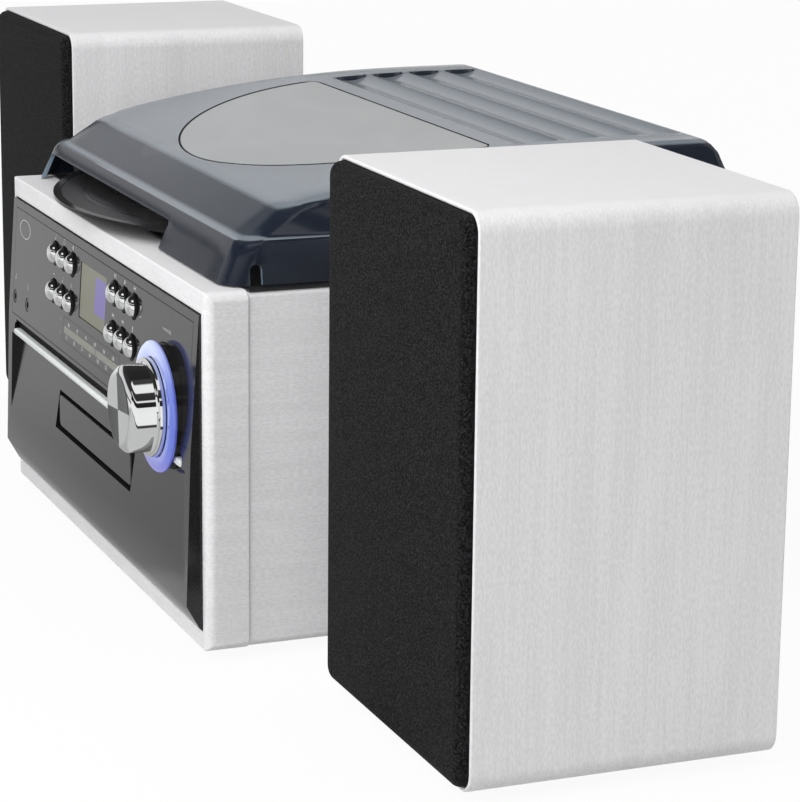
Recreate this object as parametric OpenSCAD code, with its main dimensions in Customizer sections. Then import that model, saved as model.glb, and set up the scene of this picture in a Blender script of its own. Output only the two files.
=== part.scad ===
// Stereo music centre: record player, CD drawer and tuner in one box, with two loudspeakers.
// X runs across the front, Y from front to back and Z up; the set stands on Z = 0.

/* [Main unit] */
// Width of the main unit
unit_w = 350; // [346:1:400]
// Height of the front frame, without the feet
unit_h = 174; // [170:1:210]
// Depth of the main unit
unit_d = 305; // [300:1:360]
// Depth of the front frame
frame_d = 21.5; // [18:0.5:30]
// Radius of the frame's outer corners
corner_r = 5; // [2:0.5:6]
// Thickness of the frame's sides
frame_side = 6.4; // [5:0.2:8]
// Thickness of the frame's top
frame_top = 11; // [8:0.5:16]
// Thickness of the frame's bottom
frame_bottom = 9; // [6:0.5:12]
// How far the cabinet lies inside the frame's outline
cabinet_inset = 1; // [0.5:0.1:2]
// Thickness of the cabinet's walls
cabinet_wall = 9; // [6:0.5:12]
// Thickness of the deck plate
deck_t = 3; // [2:0.5:5]
// Thickness of the deck plate's rim over the cabinet's sides
deck_rim = 1.2; // [1:0.1:2]
// Thickness of the back panel
back_t = 3; // [2:0.5:5]
// How far the back panel lies inside the cabinet's rear edge
back_recess = 9; // [8.5:0.5:14]
// Height of every foot
foot_h = 5; // [3:0.5:10]
// Radius of every foot
foot_r = 9; // [6:0.5:12]
// Distance of the main unit's feet from its sides
foot_inset = 34; // [25:1:60]

/* [Fascia] */
// Thickness of the fascia behind the frame's face
fascia_back = 4; // [3:0.5:6]
// How far the fascia's top edge stands out of the frame
fascia_top_out = 1; // [0.5:0.1:2]
// How far the fascia's ridge stands out of the frame
ridge_out = 5.5; // [5:0.1:7]
// How far the fascia's toe stands out of the frame
toe_out = 8; // [7.2:0.1:10]
// Height of the ridge above the frame's bottom bar
ridge_up = 88; // [86:1:92]
// Height of the toe above the frame's bottom bar
toe_up = 13.3; // [10:0.1:18]
// Width of the scoop
scoop_w = 321; // [300:1:325]
// How far the scoop's end walls slant inwards
scoop_slant = 10.5; // [6:0.5:14]
// Depth of the scoop at its top
scoop_depth = 4.9; // [4:0.1:5.5]
// Height of the scoop
scoop_h = 44.3; // [42:0.1:50]
// Width of the silver trim strip
trim_w = 310; // [290:1:318]
// Height of the silver trim strip
trim_h = 7; // [5:0.5:9]
// Thickness of the silver trim strip
trim_t = 2.5; // [2:0.1:3]
// Height of the dark slot over the trim strip
slot_h = 2; // [1:0.5:3]
// Width of the window panel
window_w = 322; // [310:1:330]
// Thickness of the window panel
window_t = 2; // [1.5:0.1:2.5]
// Margin between the window panel and the top of the opening
window_margin = 5; // [3:0.5:8]
// Width of the display
display_w = 46.5; // [40:0.5:50]
// Height of the display
display_h = 29; // [24:0.5:32]
// Width of the tuner scale
scale_w = 104; // [90:1:110]
// Height of the tuner scale
scale_h = 13; // [10:0.5:14]
// Radius of a front socket
socket_r = 3.6; // [3.4:0.1:5]
// Distance between the front sockets
socket_pitch = 26; // [18:1:30]

/* [Volume knob] */
// Distance of the knob's axis from the middle of the unit
knob_x = 122.4; // [116:0.1:128]
// Height of the knob's axis above the ridge
knob_up = 12.3; // [8:0.1:16]
// Radius of the knob's grip
knob_r = 21.4; // [18:0.1:23]
// How far the knob's face stands out of the frame
knob_out = 27.2; // [24:0.1:34]
// Radius of the knob's flange
flange_r = 24.2; // [23.2:0.1:25]
// Thickness of the knob's flange
flange_t = 3; // [2:0.1:4]
// Outer radius of the light ring
ring_r = 32; // [31:0.1:34]
// Thickness of the light ring
ring_t = 3.1; // [2:0.1:4]
// Gap between the light ring and the knob's flange
ring_gap = 3.1; // [1:0.1:4]
// Radius of the boss behind the light ring
boss_r = 30.5; // [29:0.1:30.8]

/* [Buttons] */
// Radius of a button
button_r = 6.5; // [5:0.1:7]
// How far a button stands out
button_out = 4.5; // [4:0.1:6]
// How far a button travels
button_travel = 1.5; // [1:0.1:2]
// Distance between buttons in a row
button_pitch = 17; // [15:0.1:18]
// Distance between the two rows
row_pitch = 20.6; // [16:0.1:22]
// Height of the upper row above the ridge
row_up = 50; // [48:0.1:52]
// Middle of the left group of buttons
left_group_x = -61; // [-64:0.5:-58]
// Middle of the right group of buttons
right_group_x = 51; // [48:0.5:54]

/* [CD drawer] */
// Width of the drawer's front
drawer_w = 133; // [130:1:140]
// Height of the drawer's front
drawer_h = 17.5; // [15:0.5:19]
// Height of the drawer's lower edge above the frame's bottom bar
drawer_up = 45; // [42:0.5:48]
// Thickness of the drawer's front
drawer_t = 3; // [2:0.5:3.5]
// Length of the tray
tray_l = 150; // [145:1:160]
// Thickness of the tray
tray_t = 5; // [4:0.5:6]
// Radius of the disc's place in the tray
disc_r = 60.5; // [60.2:0.1:61]

/* [Dust cover] */
// Thickness of the cover
cover_t = 2.5; // [2:0.1:3]
// Distance of the cover's front edge from the frame's face
cover_front = 11.5; // [9:0.5:13]
// Distance of the cover's sides from the unit's sides
cover_side = 7; // [6:0.5:8]
// Height of the cover's lower tier
tier_h = 20; // [18:0.5:24]
// Height of the crown above the cover's lower edge
crown_h = 55; // [52:0.5:65]
// Drop of the crown towards the front
crown_drop = 19.9; // [14:0.1:22]
// Radius of the cover's front corners
cover_r = 14; // [8:0.5:20]
// Height of the notch for the record
notch_h = 13.6; // [13:0.1:15]
// Half the width of the window in the cover
cover_window_w = 127; // [100:1:130]
// Length of the window in the cover
cover_window_l = 115; // [100:1:118]
// Radius of the window's rear corners
cover_window_r = 9; // [4:0.5:10]
// Thickness of the window in the cover
cover_window_t = 1.2; // [0.8:0.1:1.6]
// Number of louvres across the cover
louvres = 4; // [3:1:5]
// Distance between louvres
louvre_pitch = 22.5; // [18:0.5:23]
// Depth of a louvre
louvre_depth = 2.5; // [1.5:0.1:3]
// Radius of a hinge pin
hinge_pin_r = 1.6; // [1.4:0.1:1.8]
// Distance between the hinges
hinge_spread = 220; // [160:1:260]

/* [Record player] */
// Distance of the spindle from the unit's left side
spindle_in = 147; // [145:0.5:150]
// Distance of the spindle from the frame's face
spindle_back = 140; // [138:0.5:144]
// Radius of the record
record_r = 150.8; // [124:0.1:150.8]
// Thickness of the record
record_t = 1.8; // [1.4:0.1:2.2]
// Depth of the well that the platter turns in
well_depth = 3; // [2:0.1:4]
// Radius of the platter
platter_r = 97.5; // [92:0.5:105]
// Thickness of the platter
platter_t = 6.5; // [6:0.1:7.5]
// Thickness of the platter mat
mat_t = 1.7; // [1:0.1:2]
// Radius of the spindle
spindle_r = 3.6; // [3.5:0.05:3.65]
// Radius of the platter's drive rim
drive_r = 60; // [50:0.5:64]
// Radius of the motor pulley
pulley_r = 5; // [4:0.1:6]
// Distance of the motor from the spindle
motor_reach = 78; // [74:0.5:80]
// Distance of the arm's pivot from the spindle across the unit
arm_across = 172; // [170:0.5:174]
// Distance of the arm's pivot behind the spindle
arm_behind = 118; // [114:0.5:122]
// Length of the arm from its pivot to the stylus
arm_l = 216; // [212:0.5:217]
// Radius of the arm's tube
arm_r = 2.5; // [2:0.1:3]

/* [Loudspeakers] */
// Width of a loudspeaker
speaker_w = 160; // [140:1:180]
// Depth of a loudspeaker's cabinet
speaker_d = 144; // [120:1:180]
// Height of a loudspeaker's cabinet
speaker_h = 246; // [230:1:300]
// Gap between the main unit and a loudspeaker
speaker_gap = 53; // [20:1:120]
// Distance of the right loudspeaker's face from the frame's face
right_back = 44; // [10:1:100]
// Distance of the left loudspeaker's face from the frame's face
left_back = 51; // [10:1:100]
// Thickness of a loudspeaker's walls
speaker_wall = 9; // [7:0.5:12]
// Radius of a loudspeaker's long edges
speaker_edge_r = 9.5; // [7:0.5:12]
// Distance of a loudspeaker's feet from its sides
speaker_foot_inset = 32; // [24:1:44]
// How far a grille stands out
grille_out = 5.3; // [5:0.1:8]
// Thickness of the cloth-covered face of a grille
grille_t = 3; // [2:0.1:4]
// Width of the white lip round a grille
grille_lip = 2; // [1.5:0.1:4]
// Radius of a driver's cone
cone_r = 44; // [38:1:48]

/* [Hidden] */
$fn = 64;

// Clearances
fit = 0.3;
running = 0.05;
seat = 0.3;

// Levels and edges of the main unit, measured from the frame's face and bottom
open_x = unit_w / 2 - frame_side;
open_z0 = frame_bottom;
open_z1 = unit_h - frame_top;
cabinet_w = unit_w - 2 * cabinet_inset;
cabinet_z0 = 0.5;
cabinet_z1 = unit_h - 0.8;
floor_z = cabinet_z0 + cabinet_wall;
inner_x = cabinet_w / 2 - cabinet_wall;
deck_z = cabinet_z1 + deck_rim;
deck_under = deck_z - deck_t;
back_y = unit_d - back_recess;

// Blocks inside the cabinet that take the back panel's screws
screw_block = 16;
screw_x = inner_x - screw_block / 2;
screw_z = [floor_z + screw_block / 2, deck_under - 10];
screw_r = 1.8;
screw_l = 8;

// Main board with its heat sink
main_w = 160;
main_l = 104;
main_x = -65;
main_y = back_y - back_t - screw_block - 4 - main_l;
main_z = floor_z + 6;
sink_h = 45;
sink_w = 90;

// Transformer
core_w = 60;
core_d = 36;
core_h = 48;
coil_w = 40;
coil_d = 56;
coil_h = 36;
plate_w = 76;
plate_d = 44;
plate_t = 2;
transformer_x = inner_x - 55;
transformer_y = back_y - 86;

// Rear sockets and mains inlet
rear_x = -90;
rear_w = 84;
rear_h = 22;
rear_z = floor_z + 30;
rear_pitch = 20;
inlet_w = 26;
inlet_h = 16;
inlet_x = inner_x - 40;
inlet_z = floor_z + 22;

// Fascia
ridge_z = open_z0 + ridge_up;
toe_z = open_z0 + toe_up;
tilt = atan((ridge_out - fascia_top_out) / (open_z1 - ridge_z));
window_z0 = ridge_z + 1;
window_z1 = open_z1 - window_margin;
trim_z = ridge_z - 1.5 - slot_h - trim_h;
scoop_z = trim_z - scoop_h;
scale_z = ridge_z + 13.5;
scale_x = -3.3;
display_x = -4.25;
display_z = ridge_z + 40;
sockets_x = 32 - unit_w / 2;
sockets_z = ridge_z + 11;
board_y = fascia_back + 4;
board_t = 1.6;
board_z0 = trim_z - 2;
post_r = 3;

// Volume knob, light ring and boss
knob_z = ridge_z + knob_up;
flange_y = -knob_out + 13.8;
ring_y = flange_y + ring_gap;
ring_bore_r = flange_r + 0.3;
ring_nose_r = ring_r - 2.4;
shaft_r = 3;
boss_wall = 3;

// Buttons
stem_r = 2.5;
button_base = 1;
switch_t = 2.8;
row_z = ridge_z + row_up;

// CD drawer
drawer_z = open_z0 + drawer_up;
drawer_y = -4.4;
drawer_gap = 2;
tray_w = drawer_w - 9;
tray_z = drawer_z + 2.5;
disc_y = drawer_y + drawer_t + disc_r + 6;
hub_r = 13;
chassis_t = 3;
chassis_z = tray_z - 7;

// Dust cover
spindle_x = spindle_in - unit_w / 2;
cover_z = deck_z + 0.5;
cover_x = unit_w / 2 - cover_side;
cover_back = unit_d - 8.5;
tier_z = cover_z + tier_h;
crown_z = cover_z + crown_h;
crown_y = unit_d - 67;
crown_front = cover_front + 39.5;
hinge_y = unit_d - 4;
hinge_z = deck_z + 5;
lug_r = hinge_pin_r + 2;
lug_w = 12;
cheek_t = 3;
cover_window_y = 165;
notch_left = 12 - cover_x;
notch_y = cover_front + 5.5 + cover_t;
notch_right = spindle_x + chord(record_r, spindle_back - notch_y) + 2.3;
side_notch = chord(record_r, spindle_x + cover_x - 7);
louvre_r = (pow(louvre_pitch / 2, 2) + pow(louvre_depth, 2)) / (2 * louvre_depth);
louvre_y = crown_y - 61.5;
louvre_x = cover_window_w + 1;

// Record player
well_z = deck_z - well_depth;
well_under = well_z - deck_t;
well_r = platter_r + 3;
platter_z = well_z + 1.6;
platter_top = platter_z + platter_t;
mat_top = platter_top + mat_t;
record_top = mat_top + record_t;
shaft_depth = 18;
motor_x = spindle_x - motor_reach * cos(45);
motor_y = spindle_back + motor_reach * sin(45);
motor_r = 17;
motor_h = 20;
arm_x = spindle_x + arm_across;
arm_y = spindle_back + arm_behind;
arm_z = record_top + 8.7;
arm_base_h = 7.5;
arm_shaft_r = 3;
pivot_r = 1.2;
arm_boss_y = 9.5;
arm_boss_r = 4.2;
arm_boss_l = 6.5;
lever_x = arm_x + 16;
lever_y = arm_y - 12;
lever_z = deck_z + 6.5;
lever_l = 22;
lever_w = 3;
lever_ball_r = 2.2;
bracket_h = 4;
rest_y = arm_y - 158;

// Loudspeakers
speaker_x = unit_w / 2 + speaker_gap;
baffle_y = 2.5;
driver_z = speaker_h / 2 - 28;
basket_depth = 30;
magnet_r = 32;
magnet_t = 18;
cone_depth = 22;
terminal_w = 50;

// Shift that puts the set's middle on the origin
middle_y = (unit_d - knob_out) / 2;

// Half the chord of a circle at a distance from its centre
function chord(r, a) = sqrt(max(0, r * r - a * a));

// Place of the window plane in y at a height
function window_y(z) = -ridge_out + (z - ridge_z) * tan(tilt);

// Place of the fascia's lower plane in y at a height
function lower_y(z) = -toe_out + (toe_out - ridge_out) * (z - toe_z) / (ridge_z - toe_z);

// Height of the cover's crown at a distance from the frame's face
function crown(y) = crown_z - crown_drop * pow(max(0, (crown_y - y) / (crown_y - crown_front)), 2.2);

// Moves a piece from the frame's own corner to its place in the set
module placed() {
  translate([0, -middle_y, foot_h])
    children();
}

// Extrudes an outline drawn as (y, z) across the unit
module along_x(w) {
  translate([-w / 2, 0, 0])
    rotate([90, 0, 90])
      linear_extrude(w)
        children();
}

// Extrudes an outline drawn as (x, z) from y0 backwards
module along_y(y0, d) {
  translate([0, y0 + d, 0])
    rotate([90, 0, 0])
      linear_extrude(d)
        children();
}

// Rounded rectangle centred across and standing on its lower edge
module rounded(w, h, r) {
  translate([-w / 2, r])
    square([w, h - 2 * r]);
  translate([r - w / 2, 0])
    square([w - 2 * r, h]);
  for (x = [r - w / 2, w / 2 - r], y = [r, h - r])
    translate([x, y])
      circle(r);
}

// Bar with round ends, centred across and standing on its lower edge
module stadium(w, h) {
  translate([h / 2 - w / 2, 0])
    square([w - h, h]);
  for (x = [h / 2 - w / 2, w / 2 - h / 2])
    translate([x, h / 2])
      circle(h / 2);
}

// Puts a piece on the window plane, with its own -Y pointing out of the face
module on_window(x, z) {
  translate([x, window_y(z), z])
    rotate([-tilt, 0, 0])
      children();
}

// Round bar that points along +Y
module bar_y(r, l) {
  rotate([-90, 0, 0])
    cylinder(r = r, h = l);
}

// Round bar that points along +X
module bar_x(r, l) {
  rotate([0, 90, 0])
    cylinder(r = r, h = l);
}

// Repeats a piece at the place of each push button
module at_buttons() {
  for (gx = [left_group_x, right_group_x], i = [-1, 0, 1], row = [0, 1])
    on_window(gx + i * button_pitch, row_z - row * row_pitch)
      children();
}

module front_frame() {
  color("whitesmoke")
    placed()
      difference() {
        intersection() {
          along_y(0, frame_d)
            rounded(unit_w, unit_h, corner_r);
          union() {
            translate([-unit_w / 2, corner_r, 0])
              cube([unit_w, frame_d - corner_r, unit_h]);
            translate([corner_r - unit_w / 2, 0, 0])
              cube([unit_w - 2 * corner_r, corner_r, unit_h]);
            for (x = [corner_r - unit_w / 2, unit_w / 2 - corner_r])
              translate([x, corner_r, 0])
                cylinder(r = corner_r, h = unit_h);
          }
        }
        translate([-open_x, -1, open_z0])
          cube([2 * open_x, frame_d + 2, open_z1 - open_z0]);
      }
}

module at_screws() {
  for (x = [-screw_x, 0, screw_x], z = screw_z)
    translate([x, back_y - back_t, z])
      children();
}

module cabinet() {
  color("white")
    placed()
      difference() {
        union() {
          difference() {
            along_y(frame_d, unit_d - frame_d)
              intersection() {
                translate([0, cabinet_z0])
                  rounded(cabinet_w, unit_h, corner_r - cabinet_inset);
                translate([-cabinet_w / 2, 0])
                  square([cabinet_w, cabinet_z1]);
              }
            translate([-inner_x, frame_d - 1, floor_z])
              cube([2 * inner_x, unit_d, unit_h]);
          }
          for (x = [-screw_x, screw_x])
            translate([x - screw_block / 2, back_y - back_t - screw_block, floor_z])
              cube([screw_block, screw_block, deck_under - seat - floor_z]);
          translate([-screw_block / 2, back_y - back_t - screw_block, floor_z])
            cube([screw_block, screw_block, screw_block]);
        }
        for (x = [-screw_x, screw_x], z = screw_z)
          translate([x, back_y - back_t - 10, z])
            bar_y(2, 12);
        translate([0, back_y - back_t - 10, screw_z[0]])
          bar_y(2, 12);
      }
}

module deck_plate() {
  color([0.09, 0.09, 0.1])
    placed()
      difference() {
        union() {
          translate([fit - inner_x, frame_d, deck_under])
            cube([2 * (inner_x - fit), back_y - frame_d, deck_t]);
          translate([-cabinet_w / 2, frame_d, cabinet_z1])
            cube([cabinet_w, unit_d - frame_d, deck_rim]);
          translate([-screw_block / 2, back_y - back_t - screw_block, screw_z[1] - screw_block / 2])
            cube([screw_block, screw_block, deck_under - screw_z[1] + screw_block / 2 + 1]);
          translate([spindle_x, spindle_back, well_under])
            cylinder(r = well_r + deck_t, h = deck_z - well_under);
        }
        translate([spindle_x, spindle_back, well_z])
          cylinder(r = well_r, h = 20);
        translate([spindle_x, spindle_back, 0])
          cylinder(r = 6 + fit, h = unit_h + 20);
        translate([motor_x, motor_y, 0])
          cylinder(r = 4, h = unit_h + 20);
        translate([0, back_y - back_t - 10, screw_z[1]])
          bar_y(2, 12);
      }
}

module back_panel() {
  color([0.16, 0.16, 0.17])
    placed()
      difference() {
        translate([fit - inner_x, back_y - back_t, floor_z + fit])
          cube([2 * (inner_x - fit), back_t, deck_under - floor_z - 2 * fit]);
        at_screws()
          translate([0, -1, 0])
            bar_y(2, back_t + 2);
        translate([rear_x - rear_w / 2 - fit, back_y - back_t - 1, rear_z - fit])
          cube([rear_w + 2 * fit, back_t + 2, rear_h + 2 * fit]);
        translate([inlet_x - inlet_w / 2 - fit, back_y - back_t - 1, inlet_z - fit])
          cube([inlet_w + 2 * fit, back_t + 2, inlet_h + 2 * fit]);
        for (x = [-60:12:60], z = [90, 112, 134])
          translate([x - 3, back_y - back_t - 1, z])
            cube([4, back_t + 2, 14]);
      }
}

module foot() {
  cylinder(r = foot_r, h = foot_h);
}

module rubber_feet() {
  color([0.1, 0.1, 0.1])
    translate([0, -middle_y, 0]) {
      for (x = [foot_inset - unit_w / 2, unit_w / 2 - foot_inset])
        translate([x, unit_d - foot_inset, 0])
          cylinder(r = foot_r, h = foot_h + cabinet_z0);
      for (x = [foot_inset - unit_w / 2, unit_w / 2 - foot_inset])
        translate([x, foot_inset + 11, 0])
          cylinder(r = foot_r, h = foot_h + cabinet_z0);
      at_speakers()
        for (x = [speaker_foot_inset, speaker_w - speaker_foot_inset],
            y = [speaker_foot_inset, speaker_d - speaker_foot_inset])
          translate([x, y, -foot_h])
            foot();
    }
}

module case_screws() {
  color("dimgray")
    placed()
      at_screws() {
        translate([0, back_t, 0])
          intersection() {
            bar_y(3.6, 2);
            translate([0, -3, 0])
              sphere(r = 5);
          }
        translate([0, -screw_l, 0])
          bar_y(screw_r, screw_l + back_t + 1);
      }
}

// Outline of the fascia's shell in (y, z)
module fascia_side() {
  polygon([
    [fascia_back, open_z0 + fit],
    [0, open_z0 + fit],
    [-1.5, open_z0 + 1.5],
    [-toe_out, toe_z],
    [-ridge_out, ridge_z],
    [-fascia_top_out, open_z1 - fit],
    [fascia_back, open_z1 - fit]
  ]);
}

// Wedge that the scoop takes out of the fascia
module scoop() {
  x0 = scoop_w / 2;
  floor_top = x0 - scoop_slant;
  nose_y = lower_y(trim_z);
  reach = 6;
  flare = x0 + scoop_slant * reach / scoop_depth;
  low_y = lower_y(scoop_z) - 0.05;
  polyhedron(
    points = [
      [-x0, low_y, scoop_z], [x0, low_y, scoop_z],
      [-flare, nose_y - reach, trim_z], [flare, nose_y - reach, trim_z],
      [-floor_top, nose_y + scoop_depth, trim_z], [floor_top, nose_y + scoop_depth, trim_z]
    ],
    faces = [[0, 1, 5, 4], [1, 0, 2, 3], [2, 4, 5, 3], [0, 4, 2], [1, 3, 5]]
  );
}

// Space in the fascia that the drawer's front and tray pass through
module drawer_opening() {
  translate([0, -20, drawer_z - 1.5])
    cube_centred(drawer_w + 2 * drawer_gap + 3, 60, drawer_h + 3);
}

// Block centred across, from y = 0 and z = 0
module cube_centred(w, d, h) {
  translate([-w / 2, 0, 0])
    cube([w, d, h]);
}

module fascia() {
  color([0.13, 0.13, 0.14])
    placed()
      difference() {
        union() {
          along_x(2 * (open_x - fit))
            fascia_side();
          for (x = [-150, 85, 150], z = [board_z0 + 6, window_z1 - 6])
            translate([x, fascia_back - 1, z])
              bar_y(post_r, board_y - fascia_back + 1);
        }
        scoop();
        translate([0, lower_y(trim_z) - 3, trim_z - 0.01])
          along_y(0, 3 + trim_t)
            stadium(trim_w + 2 * fit, trim_h + fit);
        translate([0, -20, trim_z + trim_h])
          cube_centred(trim_w - trim_h, 20 - ridge_out + 3, slot_h);
        on_window(0, window_z0)
          translate([0, -5, -fit])
            cube_centred(window_w + 2 * fit, 5 + window_t, (window_z1 - window_z0) / cos(tilt) + 2 * fit);
        at_buttons() {
          translate([0, -1, 0])
            bar_y(button_r + 0.4, 1 + button_base + button_travel + 0.5);
          bar_y(stem_r + 0.35, 20);
        }
        on_window(display_x, display_z)
          translate([0, -1, -display_h / 2 - fit])
            cube_centred(display_w + 2 * fit, 20, display_h + 2 * fit);
        translate([knob_x, -20, knob_z])
          bar_y(boss_r + fit, 40);
        drawer_opening();
        at_front_sockets()
          bar_y(socket_r + fit, 20);
      }
}

module window_panel() {
  color([0.05, 0.05, 0.06])
    placed()
      difference() {
        on_window(0, window_z0)
          cube_centred(window_w, window_t, (window_z1 - window_z0) / cos(tilt));
        at_buttons()
          translate([0, -3, 0])
            bar_y(button_r + 0.4, 8);
        on_window(display_x, display_z)
          translate([0, -3, -display_h / 2 - fit])
            cube_centred(display_w + 2 * fit, 8, display_h + 2 * fit);
        on_window(scale_x, scale_z)
          translate([0, -3, -scale_h / 2 - 0.1])
            cube_centred(scale_w + 0.2, 4, scale_h + 0.2);
        translate([knob_x, -20, knob_z])
          bar_y(boss_r + fit, 40);
        at_front_sockets()
          translate([0, -3, 0])
            bar_y(socket_r + fit, 8);
      }
}

module display() {
  color([0.55, 0.5, 0.62])
    placed()
      difference() {
        on_window(display_x, display_z)
          translate([0, 0.3, -display_h / 2])
            cube_centred(display_w, 20, display_h);
        translate([-100, board_y, 0])
          cube([200, 40, unit_h]);
      }
}

module tuner_scale() {
  color("gainsboro")
    placed()
      on_window(scale_x, scale_z)
        translate([0, 0, -scale_h / 2])
          cube_centred(scale_w, 1, scale_h);
}

module trim_strip() {
  color("silver")
    placed()
      difference() {
        translate([0, lower_y(trim_z) - 0.5, trim_z])
          along_y(0, trim_t + 0.5)
            stadium(trim_w, trim_h);
        translate([knob_x, -20, knob_z])
          bar_y(boss_r + fit, 40);
      }
}

module knob_boss() {
  color([0.06, 0.06, 0.07])
    placed()
      translate([knob_x, 0, knob_z])
        difference() {
          translate([0, ring_y + ring_t, 0])
            bar_y(boss_r, fascia_back - ring_y - ring_t);
          translate([0, -20, 0])
            bar_y(shaft_r + fit, 40);
          bar_y(boss_r - boss_wall, 20);
        }
}

module light_ring() {
  color([0.55, 0.6, 0.95])
    placed()
      translate([knob_x, ring_y, knob_z])
        rotate([-90, 0, 0])
          difference() {
            union() {
              cylinder(r1 = ring_nose_r, r2 = ring_r - 0.4, h = ring_t / 2);
              translate([0, 0, ring_t / 2])
                cylinder(r = ring_r, h = ring_t / 2);
            }
            translate([0, 0, -1])
              cylinder(r = ring_bore_r, h = ring_t + 2);
          }
}

module volume_knob() {
  color("silver")
    placed()
      translate([knob_x, 0, knob_z]) {
        translate([0, -knob_out, 0])
          rotate([-90, 0, 0]) {
            difference() {
              union() {
                cylinder(r1 = knob_r - 1, r2 = knob_r, h = 1.5);
                translate([0, 0, 1.5])
                  cylinder(r = knob_r, h = flange_y + knob_out - 1.5);
              }
              translate([0, 0, -20])
                cylinder(r = knob_r - 2, h = 20.6);
            }
          }
        translate([0, flange_y, 0])
          bar_y(flange_r, flange_t);
        translate([0, flange_y, 0])
          bar_y(shaft_r, board_y - flange_y - 0.5);
      }
}

module at_front_sockets() {
  for (i = [-0.5, 0.5])
    on_window(sockets_x + i * socket_pitch, sockets_z)
      children();
}

module front_sockets() {
  color([0.2, 0.2, 0.2])
    placed()
      difference() {
        at_front_sockets()
          difference() {
            translate([0, 0.2, 0])
              bar_y(socket_r, 20);
            translate([0, -1, 0])
              bar_y(1.75, 14);
          }
        translate([-unit_w / 2, board_y, 0])
          cube([unit_w, 40, unit_h]);
      }
}

module front_board() {
  color("darkgreen")
    placed()
      difference() {
        union() {
          translate([0, board_y, board_z0])
            cube_centred(2 * open_x - 20, board_t, window_z1 - board_z0);
          intersection() {
            at_buttons()
              translate([-3, 0, -3])
                cube([6, 20, 6]);
            translate([-unit_w / 2, board_y - switch_t, 0])
              cube([unit_w, switch_t, unit_h]);
          }
          translate([knob_x, fascia_back + 0.3, knob_z])
            bar_y(8, board_y - fascia_back - 0.3);
        }
        translate([knob_x, 0, knob_z])
          bar_y(shaft_r + running, 40);
      }
}

module button(group_x, column, row) {
  placed()
    on_window(group_x + column * button_pitch, row_z - row * row_pitch) {
      translate([0, button_base, 0])
        rotate([90, 0, 0])
          intersection() {
            cylinder(r = button_r, h = button_base + button_out);
            translate([0, 0, button_base + button_out - dome_r()])
              sphere(r = dome_r());
          }
      bar_y(stem_r, board_y - switch_t - button_travel - 0.3 - window_y(row_z - row * row_pitch));
    }
}

// Radius of the sphere that tops a button
function dome_r() = (pow(button_r, 2) + pow(3, 2)) / (2 * 3);

module left_button_1() { color("silver") button(left_group_x, -1, 0); }
module left_button_2() { color("silver") button(left_group_x, 0, 0); }
module left_button_3() { color("silver") button(left_group_x, 1, 0); }
module left_button_4() { color("silver") button(left_group_x, -1, 1); }
module left_button_5() { color("silver") button(left_group_x, 0, 1); }
module left_button_6() { color("silver") button(left_group_x, 1, 1); }
module right_button_1() { color("silver") button(right_group_x, -1, 0); }
module right_button_2() { color("silver") button(right_group_x, 0, 0); }
module right_button_3() { color("silver") button(right_group_x, 1, 0); }
module right_button_4() { color("silver") button(right_group_x, -1, 1); }
module right_button_5() { color("silver") button(right_group_x, 0, 1); }
module right_button_6() { color("silver") button(right_group_x, 1, 1); }

module cd_drawer_front() {
  color([0.08, 0.08, 0.09])
    placed()
      translate([0, 0, drawer_z])
        along_y(drawer_y, drawer_t)
          rounded(drawer_w, drawer_h, 3);
}

module cd_tray() {
  color([0.15, 0.15, 0.16])
    placed()
      difference() {
        translate([0, drawer_y + drawer_t, tray_z])
          cube_centred(tray_w, tray_l, tray_t);
        translate([0, disc_y, tray_z + tray_t - 1.5])
          cylinder(r = disc_r, h = 10);
        translate([0, disc_y, tray_z - 1])
          cylinder(r = hub_r + 6, h = 20);
        translate([0, disc_y, tray_z - 1])
          cube_centred(2 * hub_r + 12, 60, 20);
      }
}

module cd_chassis() {
  color("gray")
    placed()
      difference() {
        union() {
          translate([0, board_y + 8, chassis_z])
            cube_centred(tray_w + 16, tray_l, chassis_t);
          for (side = [-1, 1])
            translate([side * (tray_w / 2 + fit + 3.7), board_y + 8, chassis_z])
              cube_centred(7.4, tray_l, tray_z + tray_t - chassis_z);
          for (side = [-1, 1])
            translate([side * (tray_w / 2 - 4), board_y + 8, chassis_z])
              cube_centred(6, tray_l, tray_z - fit - chassis_z);
          translate([0, disc_y + 24, tray_z + tray_t])
            cube_centred(tray_w + 15.4, 30, 2.5);
          for (x = [-tray_w / 2, tray_w / 2], y = [board_y + 14, board_y + tray_l])
            translate([x, y, floor_z])
              cylinder(r = 4, h = chassis_z - floor_z);
          translate([0, disc_y, chassis_z - 9])
            cylinder(r = 14, h = 9);
        }
        translate([0, disc_y, chassis_z - 5])
          cylinder(r = 1 + running, h = 20);
      }
}

module cd_hub() {
  color("black")
    placed()
      translate([0, disc_y, chassis_z + chassis_t + seat]) {
        cylinder(r = hub_r, h = 2.2);
        translate([0, 0, -6])
          cylinder(r = 1, h = 7);
      }
}

module main_board() {
  color("darkgreen")
    placed()
      translate([main_x, main_y, main_z]) {
        cube_centred(main_w, main_l, board_t);
        for (x = [8 - main_w / 2, main_w / 2 - 8], y = [8, main_l - 8])
          translate([x, y, floor_z - main_z])
            cylinder(r = post_r, h = main_z - floor_z);
        translate([-30, main_l - 32, board_t])
          cube_centred(sink_w, 4, sink_h);
        for (i = [-6:6])
          translate([sink_w / 13 * i - 30, main_l - 28, board_t])
            cube_centred(1.6, 20, sink_h);
        for (x = [0, 28, 56])
          translate([x, 30, board_t])
            cylinder(r = 9, h = 26);
        translate([-50, 25, board_t])
          cube_centred(40, 30, 3);
      }
}

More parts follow.
